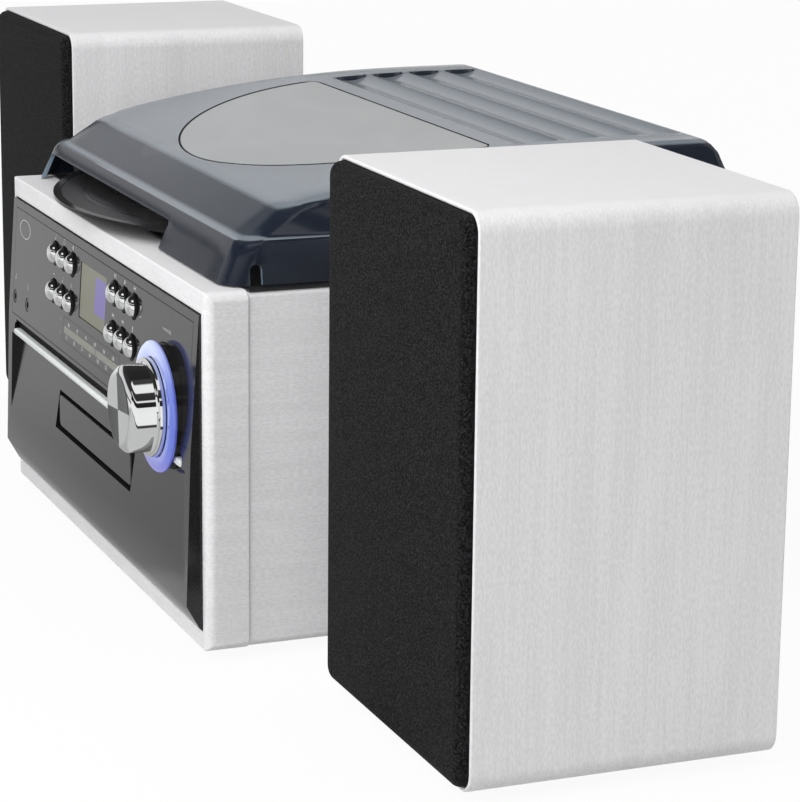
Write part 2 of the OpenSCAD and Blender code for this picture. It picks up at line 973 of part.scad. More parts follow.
module transformer() {
  color("dimgray")
    placed()
      translate([transformer_x, transformer_y, floor_z]) {
        translate([0, -plate_d / 2, 0])
          cube_centred(plate_w, plate_d, plate_t);
        translate([0, -core_d / 2, plate_t])
          cube_centred(core_w, core_d, core_h);
        translate([0, -coil_d / 2, plate_t + (core_h - coil_h) / 2])
          cube_centred(coil_w, coil_d, coil_h);
      }
}

module rear_sockets() {
  color([0.1, 0.1, 0.1])
    placed()
      translate([rear_x, back_y - back_t - 8, rear_z])
        difference() {
          union() {
            cube_centred(rear_w, 8 + back_t, rear_h);
            translate([0, 8 + back_t, -3])
              cube_centred(rear_w + 8, 1.2, rear_h + 6);
            for (i = [-1.5:1.5])
              translate([rear_pitch * i, 8 + back_t, rear_h / 2])
                bar_y(4.1, 8);
          }
          for (i = [-1.5:1.5])
            translate([rear_pitch * i, back_t + 4, rear_h / 2])
              bar_y(1.6, 20);
        }
}

module mains_inlet() {
  color([0.08, 0.08, 0.08])
    placed()
      translate([inlet_x, back_y - back_t - 14, inlet_z])
        difference() {
          union() {
            cube_centred(inlet_w, 14 + back_t, inlet_h);
            translate([0, 14 + back_t, -3])
              cube_centred(inlet_w + 14, 1.6, inlet_h + 6);
          }
          translate([0, 4, (inlet_h - 9) / 2])
            cube_centred(17, 40, 9);
        }
}

// Outline of the cover in (y, z), drawn in by i on every wall
module cover_side_outline(i) {
  skirt = i > 0 ? 5 : 0;
  polygon(concat(
    [
      [cover_front + i, cover_z - skirt],
      [cover_front + 5.5 + i, cover_z + tier_h - 8.5],
      [cover_front + 9.5 + 0.8 * i, tier_z - i],
      [cover_front + 12.5 + 0.4 * i, tier_z - 0.9 * i],
      [cover_front + 31.5 + 0.6 * i, crown(crown_front) - 2.7 - 0.8 * i]
    ],
    [for (s = [0:10]) let (y = crown_front + s / 10 * (crown_y + 30 - crown_front)) [y, crown(y) - i]],
    [
      [crown_y + 39 - 0.8 * i, crown_z - 13 - 0.5 * i],
      [cover_back - 6.5 - i, tier_z - 0.5 * i],
      [cover_back - i, tier_z - 6],
      [cover_back - i, cover_z - skirt]
    ]
  ));
}

// Outline of the cover in (x, z), drawn in by i on every wall
module cover_front_outline(i) {
  skirt = i > 0 ? 5 : 0;
  top_x = cover_x - 13 - i;
  polygon([
    [i - cover_x, cover_z - skirt],
    [cover_x - i, cover_z - skirt],
    [cover_x - 3 - i, tier_z + 1 - i],
    [cover_x - 7 - i, tier_z + 1 - i],
    [top_x, crown_z + 1],
    [-top_x, crown_z + 1],
    [7 + i - cover_x, tier_z + 1 - i],
    [3 + i - cover_x, tier_z + 1 - i]
  ]);
}

// Solid form of the cover, drawn in by i
module cover_form(i) {
  intersection() {
    along_x(2 * cover_x)
      cover_side_outline(i);
    along_y(0, unit_d)
      cover_front_outline(i);
    translate([0, cover_front + i, cover_z - 5])
      linear_extrude(crown_h + 10)
        rounded(2 * (cover_x - i), cover_back - cover_front - 2 * i, cover_r - i);
  }
}

// Half ellipse of the cover's window with its rear corners rounded, grown by g
module cover_window_plan(g) {
  w = cover_window_w + g;
  l = cover_window_l + g;
  r = cover_window_r + g;
  translate([0, cover_window_y + g])
    polygon(concat(
      [for (a = [185:5:355]) [w * cos(a), l * sin(a)]],
      [for (a = [0:15:90]) [w - r + r * cos(a), r * sin(a) - r]],
      [for (a = [90:15:180]) [r - w + r * cos(a), r * sin(a) - r]]
    ));
}

module cover_window() {
  color([0.65, 0.7, 0.7, 0.6])
    placed()
      intersection() {
        difference() {
          cover_form(0);
          cover_form(cover_window_t);
        }
        linear_extrude(unit_h + 200)
          cover_window_plan(0);
      }
}

// Places of the two hinges
module at_hinges() {
  for (x = [-hinge_spread / 2, hinge_spread / 2])
    translate([x, hinge_y, hinge_z])
      children();
}

module dust_cover() {
  color([0.3, 0.35, 0.42, 0.7])
    placed()
      difference() {
        union() {
          difference() {
            cover_form(0);
            difference() {
              cover_form(cover_t);
              translate([-louvre_x - 2, louvre_y - 3, crown_z - louvre_depth - cover_t])
                cube([2 * louvre_x + 4, louvres * louvre_pitch + 6, 40]);
            }
            difference() {
              linear_extrude(unit_h + 200)
                cover_window_plan(fit);
              cover_form(cover_window_t + 0.1);
            }
          }
          at_hinges()
            translate([-lug_w / 2, 0, 0]) {
              bar_x(lug_r, lug_w);
              translate([0, cover_back - hinge_y - 0.5, -1.5])
                cube([lug_w, hinge_y - cover_back + 0.5, 3]);
            }
        }
        at_hinges()
          translate([-lug_w, 0, 0])
            bar_x(hinge_pin_r + running, 2 * lug_w);
        for (s = [0:louvres - 1])
          translate([-louvre_x, louvre_y + (s + 0.5) * louvre_pitch, crown_z + louvre_r - louvre_depth])
            bar_x(louvre_r, 2 * louvre_x);
        translate([notch_left, 0, cover_z - 1])
          cube([notch_right - notch_left, crown_front - 20, notch_h + 1]);
        translate([-unit_w / 2, spindle_back - side_notch - 3, cover_z - 1])
          cube([unit_w / 2 - cover_x + 10, 2 * side_notch + 6, notch_h + 1]);
        translate([cover_x - 10, cover_front + 13, cover_z - 1])
          cube([20, 6, 8]);
        translate([cover_x - 10, cover_front + 16, cover_z + 7])
          bar_x(3, 20);
      }
}

module hinge_brackets() {
  color("dimgray")
    placed()
      at_hinges() {
        for (side = [-1, 1])
          translate([side * (lug_w / 2 + fit + cheek_t / 2) - cheek_t / 2, 0, 0]) {
            bar_x(lug_r, cheek_t);
            translate([0, -lug_r, deck_z - hinge_z])
              cube([cheek_t, 2 * lug_r, hinge_z - deck_z]);
          }
        translate([-lug_w / 2 - fit - cheek_t, 0, 0])
          bar_x(hinge_pin_r, lug_w + 2 * fit + 2 * cheek_t);
      }
}

module at_spindle() {
  placed()
    translate([spindle_x, spindle_back, 0])
      children();
}

module platter() {
  color("lightgray")
    at_spindle() {
      difference() {
        translate([0, 0, platter_z])
          cylinder(r = platter_r, h = platter_t);
        difference() {
          translate([0, 0, platter_z - 1])
            cylinder(r = platter_r - 3.5, h = platter_t - 1);
          cylinder(r = drive_r, h = unit_h + 100);
        }
        translate([0, 0, platter_z - 1])
          cylinder(r = drive_r - 3, h = platter_t - 1);
      }
      translate([0, 0, platter_z - 0.2])
        cylinder(r = 10, h = platter_t);
      translate([0, 0, well_z - shaft_depth])
        cylinder(r = 3, h = shaft_depth + 5);
      translate([0, 0, platter_top - 1])
        cylinder(r = spindle_r, h = record_top - platter_top + 5);
      translate([0, 0, record_top + 4])
        cylinder(r1 = spindle_r, r2 = 1.5, h = 2.5);
    }
}

module platter_mat() {
  color([0.12, 0.12, 0.12])
    at_spindle()
      translate([0, 0, platter_top])
        difference() {
          cylinder(r = platter_r - 2, h = mat_t);
          translate([0, 0, -1])
            cylinder(r = spindle_r + fit, h = mat_t + 2);
        }
}

module record() {
  color([0.03, 0.03, 0.03])
    at_spindle()
      translate([0, 0, mat_top])
        difference() {
          cylinder(r = record_r, h = record_t);
          translate([0, 0, -1])
            cylinder(r = spindle_r + running, h = record_t + 2);
          translate([0, 0, record_t - 0.2])
            difference() {
              cylinder(r = record_r - 4, h = 1);
              translate([0, 0, -1])
                cylinder(r = 50, h = 3);
            }
        }
}

module platter_bearing() {
  color("goldenrod")
    at_spindle()
      difference() {
        union() {
          translate([0, 0, well_z - shaft_depth - 2])
            cylinder(r = 6, h = shaft_depth + 2);
          translate([0, 0, well_z])
            cylinder(r = 9, h = 1.1);
          translate([0, 0, well_under - 2])
            cylinder(r = 9, h = 2);
        }
        translate([0, 0, well_z - shaft_depth - seat])
          cylinder(r = 3 + running, h = shaft_depth + 10);
      }
}

// Belt loop round the drive rim and the pulley, grown by g
module belt_loop(g) {
  hull() {
    translate([spindle_x, spindle_back])
      circle(drive_r + g);
    translate([motor_x, motor_y])
      circle(pulley_r + g);
  }
}

module drive_belt() {
  color([0.1, 0.1, 0.1])
    placed()
      translate([0, 0, platter_z + 0.5])
        linear_extrude(3)
          difference() {
            belt_loop(fit + 0.9);
            belt_loop(fit + 0.1);
          }
}

module deck_motor() {
  color("darkgray")
    placed()
      translate([motor_x, motor_y, well_under - motor_h])
        difference() {
          cylinder(r = motor_r, h = motor_h);
          translate([0, 0, 4])
            cylinder(r = 1 + running, h = motor_h);
        }
}

module motor_pulley() {
  color("goldenrod")
    placed()
      translate([motor_x, motor_y, 0]) {
        translate([0, 0, platter_z])
          cylinder(r = pulley_r, h = platter_t - 2.5);
        translate([0, 0, well_under - 12])
          cylinder(r = 1, h = 12 + deck_t + 2);
        translate([0, 0, well_under + seat])
          cylinder(r = 2.5, h = deck_t + 1.5);
      }
}

module at_arm() {
  placed()
    translate([arm_x, arm_y, 0])
      children();
}

module arm_base() {
  color([0.14, 0.14, 0.15])
    placed()
      difference() {
        union() {
          translate([arm_x, arm_y, deck_z])
            cylinder(r = 11, h = arm_base_h);
          translate([arm_x + 6, lever_y - 5, deck_z])
            cube([lever_x - arm_x - 4, 20, bracket_h]);
          translate([lever_x - lever_w - 2, lever_y - 4, deck_z])
            cube([lever_w, 8, lever_z - deck_z + 3]);
        }
        translate([arm_x, arm_y, deck_z + 1])
          cylinder(r = arm_shaft_r + running, h = 20);
        translate([lever_x - lever_w - 3, lever_y, lever_z])
          bar_x(pivot_r + running, 10);
      }
}

module arm_yoke() {
  color("silver")
    at_arm()
      difference() {
        union() {
          translate([0, 0, deck_z + 1 + seat])
            cylinder(r = arm_shaft_r, h = arm_base_h);
          translate([0, 0, deck_z + arm_base_h + seat])
            cylinder(r = 9, h = arm_z - arm_r - 1.5 - deck_z - arm_base_h - seat);
          for (side = [-1, 1])
            translate([side * 5.5 - 1.5, -4, deck_z + arm_base_h + seat])
              cube([3, 8, arm_z + 3.5 - deck_z - arm_base_h - seat]);
        }
        translate([-20, 0, arm_z])
          bar_x(pivot_r + running, 40);
      }
}

module arm_tube() {
  color("gainsboro")
    at_arm()
      translate([0, 0, arm_z]) {
        translate([0, 30 - arm_l, 0])
          bar_y(arm_r, arm_l - 18.5);
        translate([-7, 0, 0])
          bar_x(pivot_r, 14);
        translate([0, arm_boss_y, 0])
          bar_y(arm_boss_r, arm_boss_l);
      }
}

module headshell() {
  color([0.1, 0.1, 0.11])
    at_arm()
      translate([0, -arm_l, 0]) {
        translate([0, -4, arm_z - 4])
          cube_centred(15, 34 - seat, 2.5 - arm_r + 2);
        translate([0, -4, record_top + 3])
          cube_centred(9, 16, arm_z - 4 - record_top - 3);
        translate([0, 0, record_top + 0.7])
          cylinder(r1 = 0.3, r2 = 1.2, h = 3);
        translate([0, 10, arm_z - 2])
          cube_centred(7, 20 - seat, 3.5);
      }
}

module arm_rest() {
  color([0.12, 0.12, 0.13])
    placed()
      translate([arm_x, rest_y, 0]) {
        translate([8, 0, deck_z])
          cylinder(r = 3, h = arm_z - deck_z);
        translate([-4, -3, arm_z - arm_r - 2.5 - seat])
          cube([12, 6, 2.5]);
        translate([arm_r + 1, -3, arm_z - arm_r - 2.5 - seat])
          cube([4, 6, 6]);
      }
}

module cue_lever() {
  color("silver")
    placed()
      translate([lever_x, lever_y, lever_z]) {
        translate([-lever_w - 2.5, 0, 0])
          bar_x(pivot_r, lever_w + 4.5);
        translate([seat - 2, -lever_l, -1])
          cube([lever_w, lever_l + 3, 2]);
        translate([seat - 2 + lever_w / 2, -lever_l, 0])
          sphere(r = lever_ball_r);
      }
}

// Places of the two loudspeakers, each from its own lower left front corner
module at_speakers() {
  translate([-speaker_x - speaker_w, left_back, foot_h])
    children();
  translate([speaker_x, right_back, foot_h])
    children();
}

module speaker_cabinet() {
  w = speaker_w;
  h = speaker_h;
  difference() {
    translate([w / 2, 0, 0])
      along_y(0, speaker_d)
        rounded(w, h, speaker_edge_r);
    translate([speaker_wall, baffle_y + speaker_wall, speaker_wall])
      cube([w - 2 * speaker_wall, speaker_d - baffle_y - 2 * speaker_wall, h - 2 * speaker_wall]);
    translate([w / 2, -1, grille_lip])
      along_y(0, 1 + baffle_y)
        rounded(w - 2 * grille_lip, h - 2 * grille_lip, speaker_edge_r - grille_lip);
    translate([w / 2, -1, driver_z])
      bar_y(cone_r + 2, 30);
    translate([w / 2, speaker_d - 20, (h - terminal_w) / 2 - fit])
      cube_centred(terminal_w + 2 * fit, 40, terminal_w + 2 * fit);
  }
}

module left_cabinet() {
  color("white")
    translate([-speaker_x - speaker_w, left_back - middle_y, foot_h])
      speaker_cabinet();
}

module right_cabinet() {
  color("white")
    translate([speaker_x, right_back - middle_y, foot_h])
      speaker_cabinet();
}

// Cloth-covered grille with a hollow back and stepped round edges
module grille() {
  w = speaker_w - 2 * grille_lip - 2 * fit;
  h = speaker_h - 2 * grille_lip - 2 * fit;
  r = speaker_edge_r - grille_lip;
  translate([speaker_w / 2, 0, grille_lip + fit])
    difference() {
      union() {
        along_y(2 - grille_out, grille_out - 2 + baffle_y)
          rounded(w, h, r);
        translate([0, 0, 1.2])
          along_y(0.7 - grille_out, 2)
            rounded(w - 2.4, h - 2.4, r - 1.2);
        translate([0, 0, 3])
          along_y(-grille_out, 2)
            rounded(w - 6, h - 6, r - 2.4);
      }
      translate([0, 0, 14])
        along_y(grille_t - grille_out, 20)
          rounded(w - 28, h - 28, 3);
    }
}

module left_grille() {
  color([0.12, 0.12, 0.13])
    translate([-speaker_x - speaker_w, left_back - middle_y, foot_h])
      grille();
}

module right_grille() {
  color([0.12, 0.12, 0.13])
    translate([speaker_x, right_back - middle_y, foot_h])
      grille();
}

module driver_frames() {
  color("dimgray")
    translate([0, -middle_y, 0])
      at_speakers()
        translate([speaker_w / 2, baffle_y, driver_z])
          rotate([90, 0, 0])
            difference() {
              union() {
                cylinder(r = cone_r + 8, h = 2);
                translate([0, 0, -basket_depth])
                  cylinder(r1 = magnet_r, r2 = cone_r + 1.5, h = basket_depth);
                translate([0, 0, -basket_depth - magnet_t])
                  cylinder(r = magnet_r, h = magnet_t + 1);
              }
              translate([0, 0, -cone_depth])
                cylinder(r1 = 14, r2 = cone_r, h = cone_depth);
              translate([0, 0, -0.01])
                cylinder(r = cone_r, h = 10);
            }
}

module driver_cones() {
  color([0.2, 0.2, 0.2])
    translate([0, -middle_y, 0])
      at_speakers()
        translate([speaker_w / 2, baffle_y, driver_z])
          rotate([90, 0, 0]) {
            difference() {
              translate([0, 0, 0.5 - cone_depth])
                cylinder(r1 = 13.8, r2 = cone_r - 0.6, h = cone_depth - 0.5);
              translate([0, 0, 2.5 - cone_depth])
                cylinder(r1 = 11, r2 = cone_r - 1.6, h = cone_depth - 2.4);
            }
            translate([0, 0, 2 - cone_depth])
              cylinder(r = 10, h = 6);
          }
}

module speaker_terminals() {
  color([0.1, 0.1, 0.1])
    translate([0, -middle_y, 0])
      at_speakers()
        translate([speaker_w / 2, speaker_d - speaker_wall, speaker_h / 2]) {
          translate([0, 0, -terminal_w / 2])
            cube_centred(terminal_w, speaker_wall - 1, terminal_w);
          for (x = [-10, 10])
            translate([x, speaker_wall - 1, -12])
              cube_centred(12, 1, 20);
        }
}

front_frame();
cabinet();
deck_plate();
back_panel();
rubber_feet();
case_screws();
fascia();
window_panel();
display();
tuner_scale();
trim_strip();
knob_boss();
light_ring();
volume_knob();
front_sockets();
front_board();
left_button_1();
left_button_2();
left_button_3();
left_button_4();
left_button_5();
left_button_6();
right_button_1();
right_button_2();
right_button_3();
right_button_4();
right_button_5();
right_button_6();
cd_drawer_front();
cd_tray();
cd_chassis();
cd_hub();
main_board();
transformer();
rear_sockets();
mains_inlet();
dust_cover();
cover_window();
hinge_brackets();
platter();
platter_mat();
record();
platter_bearing();
drive_belt();
deck_motor();
motor_pulley();
arm_base();
arm_yoke();
arm_tube();
headshell();
arm_rest();
cue_lever();
left_cabinet();
left_grille();
right_cabinet();
right_grille();
driver_frames();
driver_cones();
speaker_terminals();
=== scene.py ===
"""Looks of a stereo music centre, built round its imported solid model.

The set is a main unit with a record player on top and two loudspeakers. Lengths in the sub-assembly
classes are in millimetres, measured from the middle of the main unit in x, from the face of its
front frame in y and from that frame's lower edge in z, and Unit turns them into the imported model's
metres. Lengths in the finishes are in metres.
"""
import logging
import math
from dataclasses import dataclass, field
from enum import Enum
from typing import Any, Callable, Mapping, Sequence

import bpy
from mathutils import Matrix, Vector


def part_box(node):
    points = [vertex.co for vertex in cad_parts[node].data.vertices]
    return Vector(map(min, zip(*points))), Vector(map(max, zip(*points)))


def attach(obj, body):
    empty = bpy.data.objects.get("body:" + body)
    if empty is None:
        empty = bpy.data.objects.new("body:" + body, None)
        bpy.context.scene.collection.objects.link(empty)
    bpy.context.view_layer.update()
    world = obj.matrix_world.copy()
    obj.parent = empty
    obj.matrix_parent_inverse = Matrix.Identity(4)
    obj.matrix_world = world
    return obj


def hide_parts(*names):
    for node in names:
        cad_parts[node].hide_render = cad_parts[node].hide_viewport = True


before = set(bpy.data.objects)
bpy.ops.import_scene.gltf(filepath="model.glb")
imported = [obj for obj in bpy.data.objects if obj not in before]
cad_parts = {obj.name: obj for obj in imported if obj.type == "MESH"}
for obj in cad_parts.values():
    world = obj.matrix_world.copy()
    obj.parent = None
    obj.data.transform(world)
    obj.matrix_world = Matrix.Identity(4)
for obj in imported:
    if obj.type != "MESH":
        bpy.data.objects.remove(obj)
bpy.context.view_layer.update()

LOG = logging.getLogger("music_centre")
MM = 0.001
FULL_TURN = 2 * math.pi

Colour = tuple[float, float, float]
Point = tuple[float, float, float]
EdgeTest = Callable[[Vector, Vector], bool]


class Body(Enum):
    """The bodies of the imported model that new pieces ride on."""

    MAIN = "main_unit"
    KNOB = "volume_knob"
    DRAWER = "cd_drawer"
    COVER = "dust_cover"


class Axis(Enum):
    """Axes that a turned shape or a wood grain may follow."""

    Y = (0.0, 1.0, 0.0)
    Z = (0.0, 0.0, 1.0)


@dataclass(frozen=True)
class Unit:
    """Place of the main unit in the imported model."""

    origin: Vector

    def at(self, x: float, y: float, z: float) -> Vector:
        """Returns the point in metres of a place given in millimetres."""
        return self.origin + Vector((x, y, z)) * MM


UNIT = Unit(Vector((0.0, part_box("front_frame")[0].y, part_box("front_frame")[0].z)))


def grey(level: float) -> Colour:
    """Returns the grey of a level."""
    return level, level, level


def shade_of(colour: Colour, share: float) -> Colour:
    """Returns a colour made darker or lighter by a factor."""
    return tuple(c * share for c in colour)


def maths(operation: str, swapped: bool = False) -> Callable[..., "Val"]:
    """Makes a method of Val that adds one Math node.

    Args:
        operation: the node's operation.
        swapped: whether the value itself comes last.

    Returns:
        The method.
    """
    def method(self: "Val", *others: Any) -> "Val":
        """Adds the node and returns its result."""
        order = (*others, self) if swapped else (self, *others)
        inputs = {f"i{n}": value for n, value in enumerate(order)}
        return self.graph.value("ShaderNodeMath", {"operation": operation}, **inputs)
    return method


class Val:
    """A number in a node tree, so that shader maths reads as Python."""

    __add__, __radd__ = maths("ADD"), maths("ADD", swapped=True)
    __sub__, __rsub__ = maths("SUBTRACT"), maths("SUBTRACT", swapped=True)
    __mul__, __rmul__ = maths("MULTIPLY"), maths("MULTIPLY", swapped=True)
    __truediv__, __pow__ = maths("DIVIDE"), maths("POWER")
    sin, at_least = maths("SINE"), maths("MAXIMUM")
    angle_over = maths("ARCTAN2")

    def __init__(self, graph: "Graph", socket: Any) -> None:
        """Keeps the socket and its graph."""
        self.graph = graph
        self.socket = socket

    def step(self, low: float, high: float) -> "Val":
        """Smooth step from 0 at low to 1 at high."""
        settings = {"interpolation_type": "SMOOTHSTEP", "clamp": True}
        return self.graph.value("ShaderNodeMapRange", settings, Value=self, From_Min=low,
                                From_Max=high)

    def wave(self, pitch: float) -> "Val":
        """Sine that repeats at a pitch."""
        return (self * (FULL_TURN / pitch)).sin()

    def distance(self, other: "Val") -> "Val":
        """Distance of the point (this value, other) from the origin."""
        return (self * self + other * other) ** 0.5


class Graph:
    """A node tree under construction."""

    def __init__(self, tree: Any) -> None:
        """Empties the tree of a material or world."""
        self.tree = tree
        self.shader: Any = None
        self._place: Any = None
        tree.nodes.clear()

    def node(self, kind: str, settings: Mapping[str, Any] | None = None, **inputs: Any) -> Any:
        """Adds a node.

        Args:
            kind: the node's type.
            settings: the node's own settings, or "stops" for the stops of a ramp.
            inputs: values or sockets by input name, with _ for a space, or i0, i1 by place.

        Returns:
            The node.
        """
        made = self.tree.nodes.new(kind)
        for key, value in (settings or {}).items():
            if key == "stops":
                self._set_stops(made.color_ramp, value)
            else:
                setattr(made, key, value)
        for key, value in inputs.items():
            self.feed(self._input(made, key), value)
        return made

    @staticmethod
    def _set_stops(ramp: Any, stops: Sequence[tuple[float, Colour]]) -> None:
        """Gives a ramp its stops."""
        while len(ramp.elements) < len(stops):
            ramp.elements.new(1.0)
        for element, (position, colour) in zip(ramp.elements, stops):
            element.position = position
            element.color = (*colour, 1.0)

    @staticmethod
    def _input(made: Any, key: str) -> Any:
        """Finds an input by its name or its place."""
        if key[0] == "i" and key[1:].isdigit():
            return made.inputs[int(key[1:])]
        name = key.replace("_", " ")
        return next(s for s in made.inputs if s.enabled and s.name == name)

    def feed(self, socket: Any, value: Any) -> None:
        """Links or sets an input.

        Args:
            socket: the input.
            value: a Val, a socket, a number or a tuple.
        """
        if isinstance(value, Val):
            value = value.socket
        if isinstance(value, bpy.types.NodeSocket):
            self.tree.links.new(value, socket)
        elif isinstance(value, tuple) and socket.type == "RGBA" and len(value) == 3:
            socket.default_value = (*value, 1.0)
        else:
            socket.default_value = value

    def shade(self, **values: Any) -> None:
        """Feeds inputs of the material's shader, named with _ for a space."""
        for key, value in values.items():
            self.feed(self.shader.inputs[key.replace("_", " ")], value)

    def finish(self, kind: str, surface: Any) -> None:
        """Adds the output node of a kind and links its surface."""
        self.feed(self.node(kind).inputs["Surface"], surface)

    def value(self, kind: str, settings: Mapping[str, Any] | None = None, **inputs: Any) -> Val:
        """Adds a node and returns its first live output as a number."""
        made = self.node(kind, settings, **inputs)
        return Val(self, next(s for s in made.outputs if s.enabled))

    def rays(self, *kinds: str) -> Val:
        """Returns 1 for rays of the named kinds and 0 for others."""
        path = self.node("ShaderNodeLightPath")
        first, *rest = (Val(self, path.outputs[f"Is {kind} Ray"]) for kind in kinds)
        for other in rest:
            first = first.at_least(other)
        return first

    def place(self) -> Any:
        """Returns the object coordinates."""
        if self._place is None:
            self._place = self.node("ShaderNodeTexCoord").outputs["Object"]
        return self._place

    def axes(self, source: Any = None) -> tuple[Val, Val, Val]:
        """Returns x, y and z of a vector, or of the object coordinates."""
        split = self.node("ShaderNodeSeparateXYZ", None, Vector=source or self.place())
        return tuple(Val(self, s) for s in split.outputs)

    def scaled(self, scale: Point) -> Any:
        """Returns the object coordinates times a scale for each axis."""
        return self.node("ShaderNodeVectorMath", {"operation": "MULTIPLY"}, i0=self.place(),
                         i1=scale).outputs[0]

    def noise(self, scale: float | Point, detail: float = 2.0, distortion: float = 0.0) -> Val:
        """Adds a noise.

        Args:
            scale: cells for each metre, the same for every axis or along x, y and z.
            detail: how many finer layers it has.
            distortion: how far its cells are pulled about.

        Returns:
            The noise, about 0.5 on average.
        """
        cells = scale if isinstance(scale, tuple) else (scale,) * 3
        return self.value("ShaderNodeTexNoise", {"noise_dimensions": "3D"},
                          Vector=self.scaled(cells), Scale=1.0, Detail=detail,
                          Distortion=distortion)

    def mix(self, share: Any, first: Any, second: Any) -> Any:
        """Returns a colour between two."""
        made = self.node("ShaderNodeMix", {"data_type": "RGBA"}, Factor=share, A=first, B=second)
        return next(s for s in made.outputs if s.enabled)

    def blend(self, share: Any, first: Any, second: Any) -> Any:
        """Returns a shader between two."""
        return self.node("ShaderNodeMixShader", None, i0=share, i1=first, i2=second).outputs[0]

    def bump(self, height: Any, distance: float, strength: float = 1.0) -> Any:
        """Returns a normal from a height, with the depth in metres."""
        return self.node("ShaderNodeBump", None, Height=height, Distance=distance,
                         Strength=strength).outputs[0]


class Finish:
    """Base of every finish: it builds its material once and hands it out."""

    name: str

    def material(self) -> Any:
        """Returns the material, made at its first use."""
        made = bpy.data.materials.get(self.name)
        if made is None:
            made = bpy.data.materials.new(self.name)
            made.use_nodes = True
            graph = Graph(made.node_tree)
            graph.shader = graph.node("ShaderNodeBsdfPrincipled")
            self.paint(graph)
            graph.finish("ShaderNodeOutputMaterial", graph.shader.outputs[0])
        return made

    def paint(self, graph: Graph) -> None:
        """Feeds the shader of the material's graph."""
        raise NotImplementedError


@dataclass(frozen=True)
class Moulded(Finish):
    """Plastic, metal or rubber with a fine surface grain and uneven gloss."""

    name: str
    dark: Colour
    light: Colour
    rough: tuple[float, float] = (0.3, 0.4)
    cell: float = 900.0
    patch: float = 25.0
    metal: float = 0.0
    depth: float = 0.00003
    specular: float = 0.5

    def paint(self, graph: Graph) -> None:
        """Mixes two tones by a fine and a broad noise."""
        fine = graph.noise(self.cell, 3.0)
        broad = graph.noise(self.patch)
        share = fine * 0.5 + broad * 0.5
        low, high = self.rough
        graph.shade(Base_Color=graph.mix(share.step(0.3, 0.7), self.dark, self.light),
                    Roughness=broad.step(0.25, 0.75) * (high - low) + low, Metallic=self.metal,
                    Specular_IOR_Level=self.specular, Normal=graph.bump(fine, self.depth, 0.6))


@dataclass(frozen=True)
class WoodVinyl(Finish):
    """White foil printed and embossed with a faint wood grain, plainer on its top face."""

    name: str
    along: Axis
    top: float
    base: Colour = (0.73, 0.725, 0.735)

    def paint(self, graph: Graph) -> None:
        """Draws long streaks, a broad figure and fine pores along the grain."""
        if self.along is Axis.Z:
            streak = graph.noise((640.0, 640.0, 18.0), 3.0, 0.6)
            figure = graph.noise((34.0, 34.0, 3.2), 2.0, 1.6)
            pores = graph.noise((1000.0, 1000.0, 420.0))
            weight = 0.6
        else:
            streak = graph.noise((40.0, 18.0, 512.0), 3.0, 0.9)
            figure = graph.noise((20.0, 7.0, 46.0), 2.0, 2.2)
            pores = graph.noise((1000.0, 420.0, 1000.0))
            weight = 0.4
        height = graph.axes()[2]
        side = 1.0 - height.step(self.top - 0.004, self.top - 0.0005) * 0.75
        tone = ((streak - 0.5) * weight + (figure - 0.5) * 0.5 + (pores - 0.5) * 1.2) * side + 0.5
        dark, light = shade_of(self.base, 0.91), shade_of(self.base, 1.05)
        graph.shade(Base_Color=graph.mix(tone.step(0.2, 0.8), dark, light),
                    Roughness=pores * 0.2 + 0.38, Specular_IOR_Level=0.45,
                    Normal=graph.bump(streak + pores * 0.5, 0.00012, 0.35))


@dataclass(frozen=True)
class Cloth(Finish):
    """Open-weave cloth stretched over the front of a loudspeaker."""

    name: str
    thread: Colour = (0.0066, 0.0066, 0.007)
    pitch: float = 0.0011

    def paint(self, graph: Graph) -> None:
        """Weaves two sets of threads and roughens them with lint."""
        x, y, z = graph.axes()
        turn = FULL_TURN / self.pitch
        wobble = graph.noise(220.0) * 2.4
        weave = ((x + y) * turn + wobble).sin() * (z * turn + wobble).sin() * 0.5 + 0.5
        lint = graph.noise(1150.0)
        tone = weave * 0.25 + lint * 0.75
        hole, fibre = shade_of(self.thread, 0.1), shade_of(self.thread, 4.6)
        graph.shade(Base_Color=graph.mix(tone.step(0.44, 0.66), hole, fibre),
                    Roughness=lint * 0.15 + 0.8, Specular_IOR_Level=0.1, Sheen_Weight=0.02,
                    Sheen_Roughness=0.5, Normal=graph.bump(tone, 0.0002, 0.5))


@dataclass(frozen=True)
class Acrylic(Finish):
    """Clear tinted plastic that is seen through.

    Its level faces can take a paler colour, a painted reflection of the bright surroundings. The
    border is a dark line round a half ellipse, given by the ellipse's half width, its length and the
    y of its straight side.
    """

    name: str
    tint: Colour
    body: float
    rough: float = 0.12
    bloom: Colour | None = None
    flow: float = 1.35
    border: tuple[float, float, float] | None = None

    def paint(self, graph: Graph) -> None:
        """Tints the sheet, paints a reflection on its level faces, draws its border and gives it
        flow marks.
        """
        flow = graph.noise((9.0, 14.0, 30.0), 2.0, 0.8)
        dust = graph.noise(700.0)
        lighter = tuple(c * self.flow + 0.004 for c in self.tint)
        tone = graph.mix(flow.step(0.3, 0.7), self.tint, lighter)
        alpha = flow * 0.06 + dust * 0.03 + (self.body - 0.045)
        rough = dust * 0.06 + self.rough
        # Painted reflection: level faces turn paler, as if they mirrored the bright surroundings.
        if self.bloom:
            level = graph.axes(graph.node("ShaderNodeTexCoord").outputs["Normal"])[2]
            tone = graph.mix(level.step(0.84, 0.94), tone, self.bloom)
        if self.border:
            x, y, _ = graph.axes()
            half, length, back = self.border
            across, along = x / half, (y - back) / length
            curved = (across * across + along * along).step(1.0, 1.01)
            line = curved.at_least((y - back).step(-0.0009, -0.0006))
            tone = graph.mix(line, tone, (0.004, 0.004, 0.005))
            alpha = alpha.at_least(line)
            rough = rough + line * 0.8
        graph.shade(Base_Color=tone, Alpha=alpha, Roughness=rough, Specular_IOR_Level=0.5,
                    Normal=graph.bump(dust, 0.00001, 0.3))


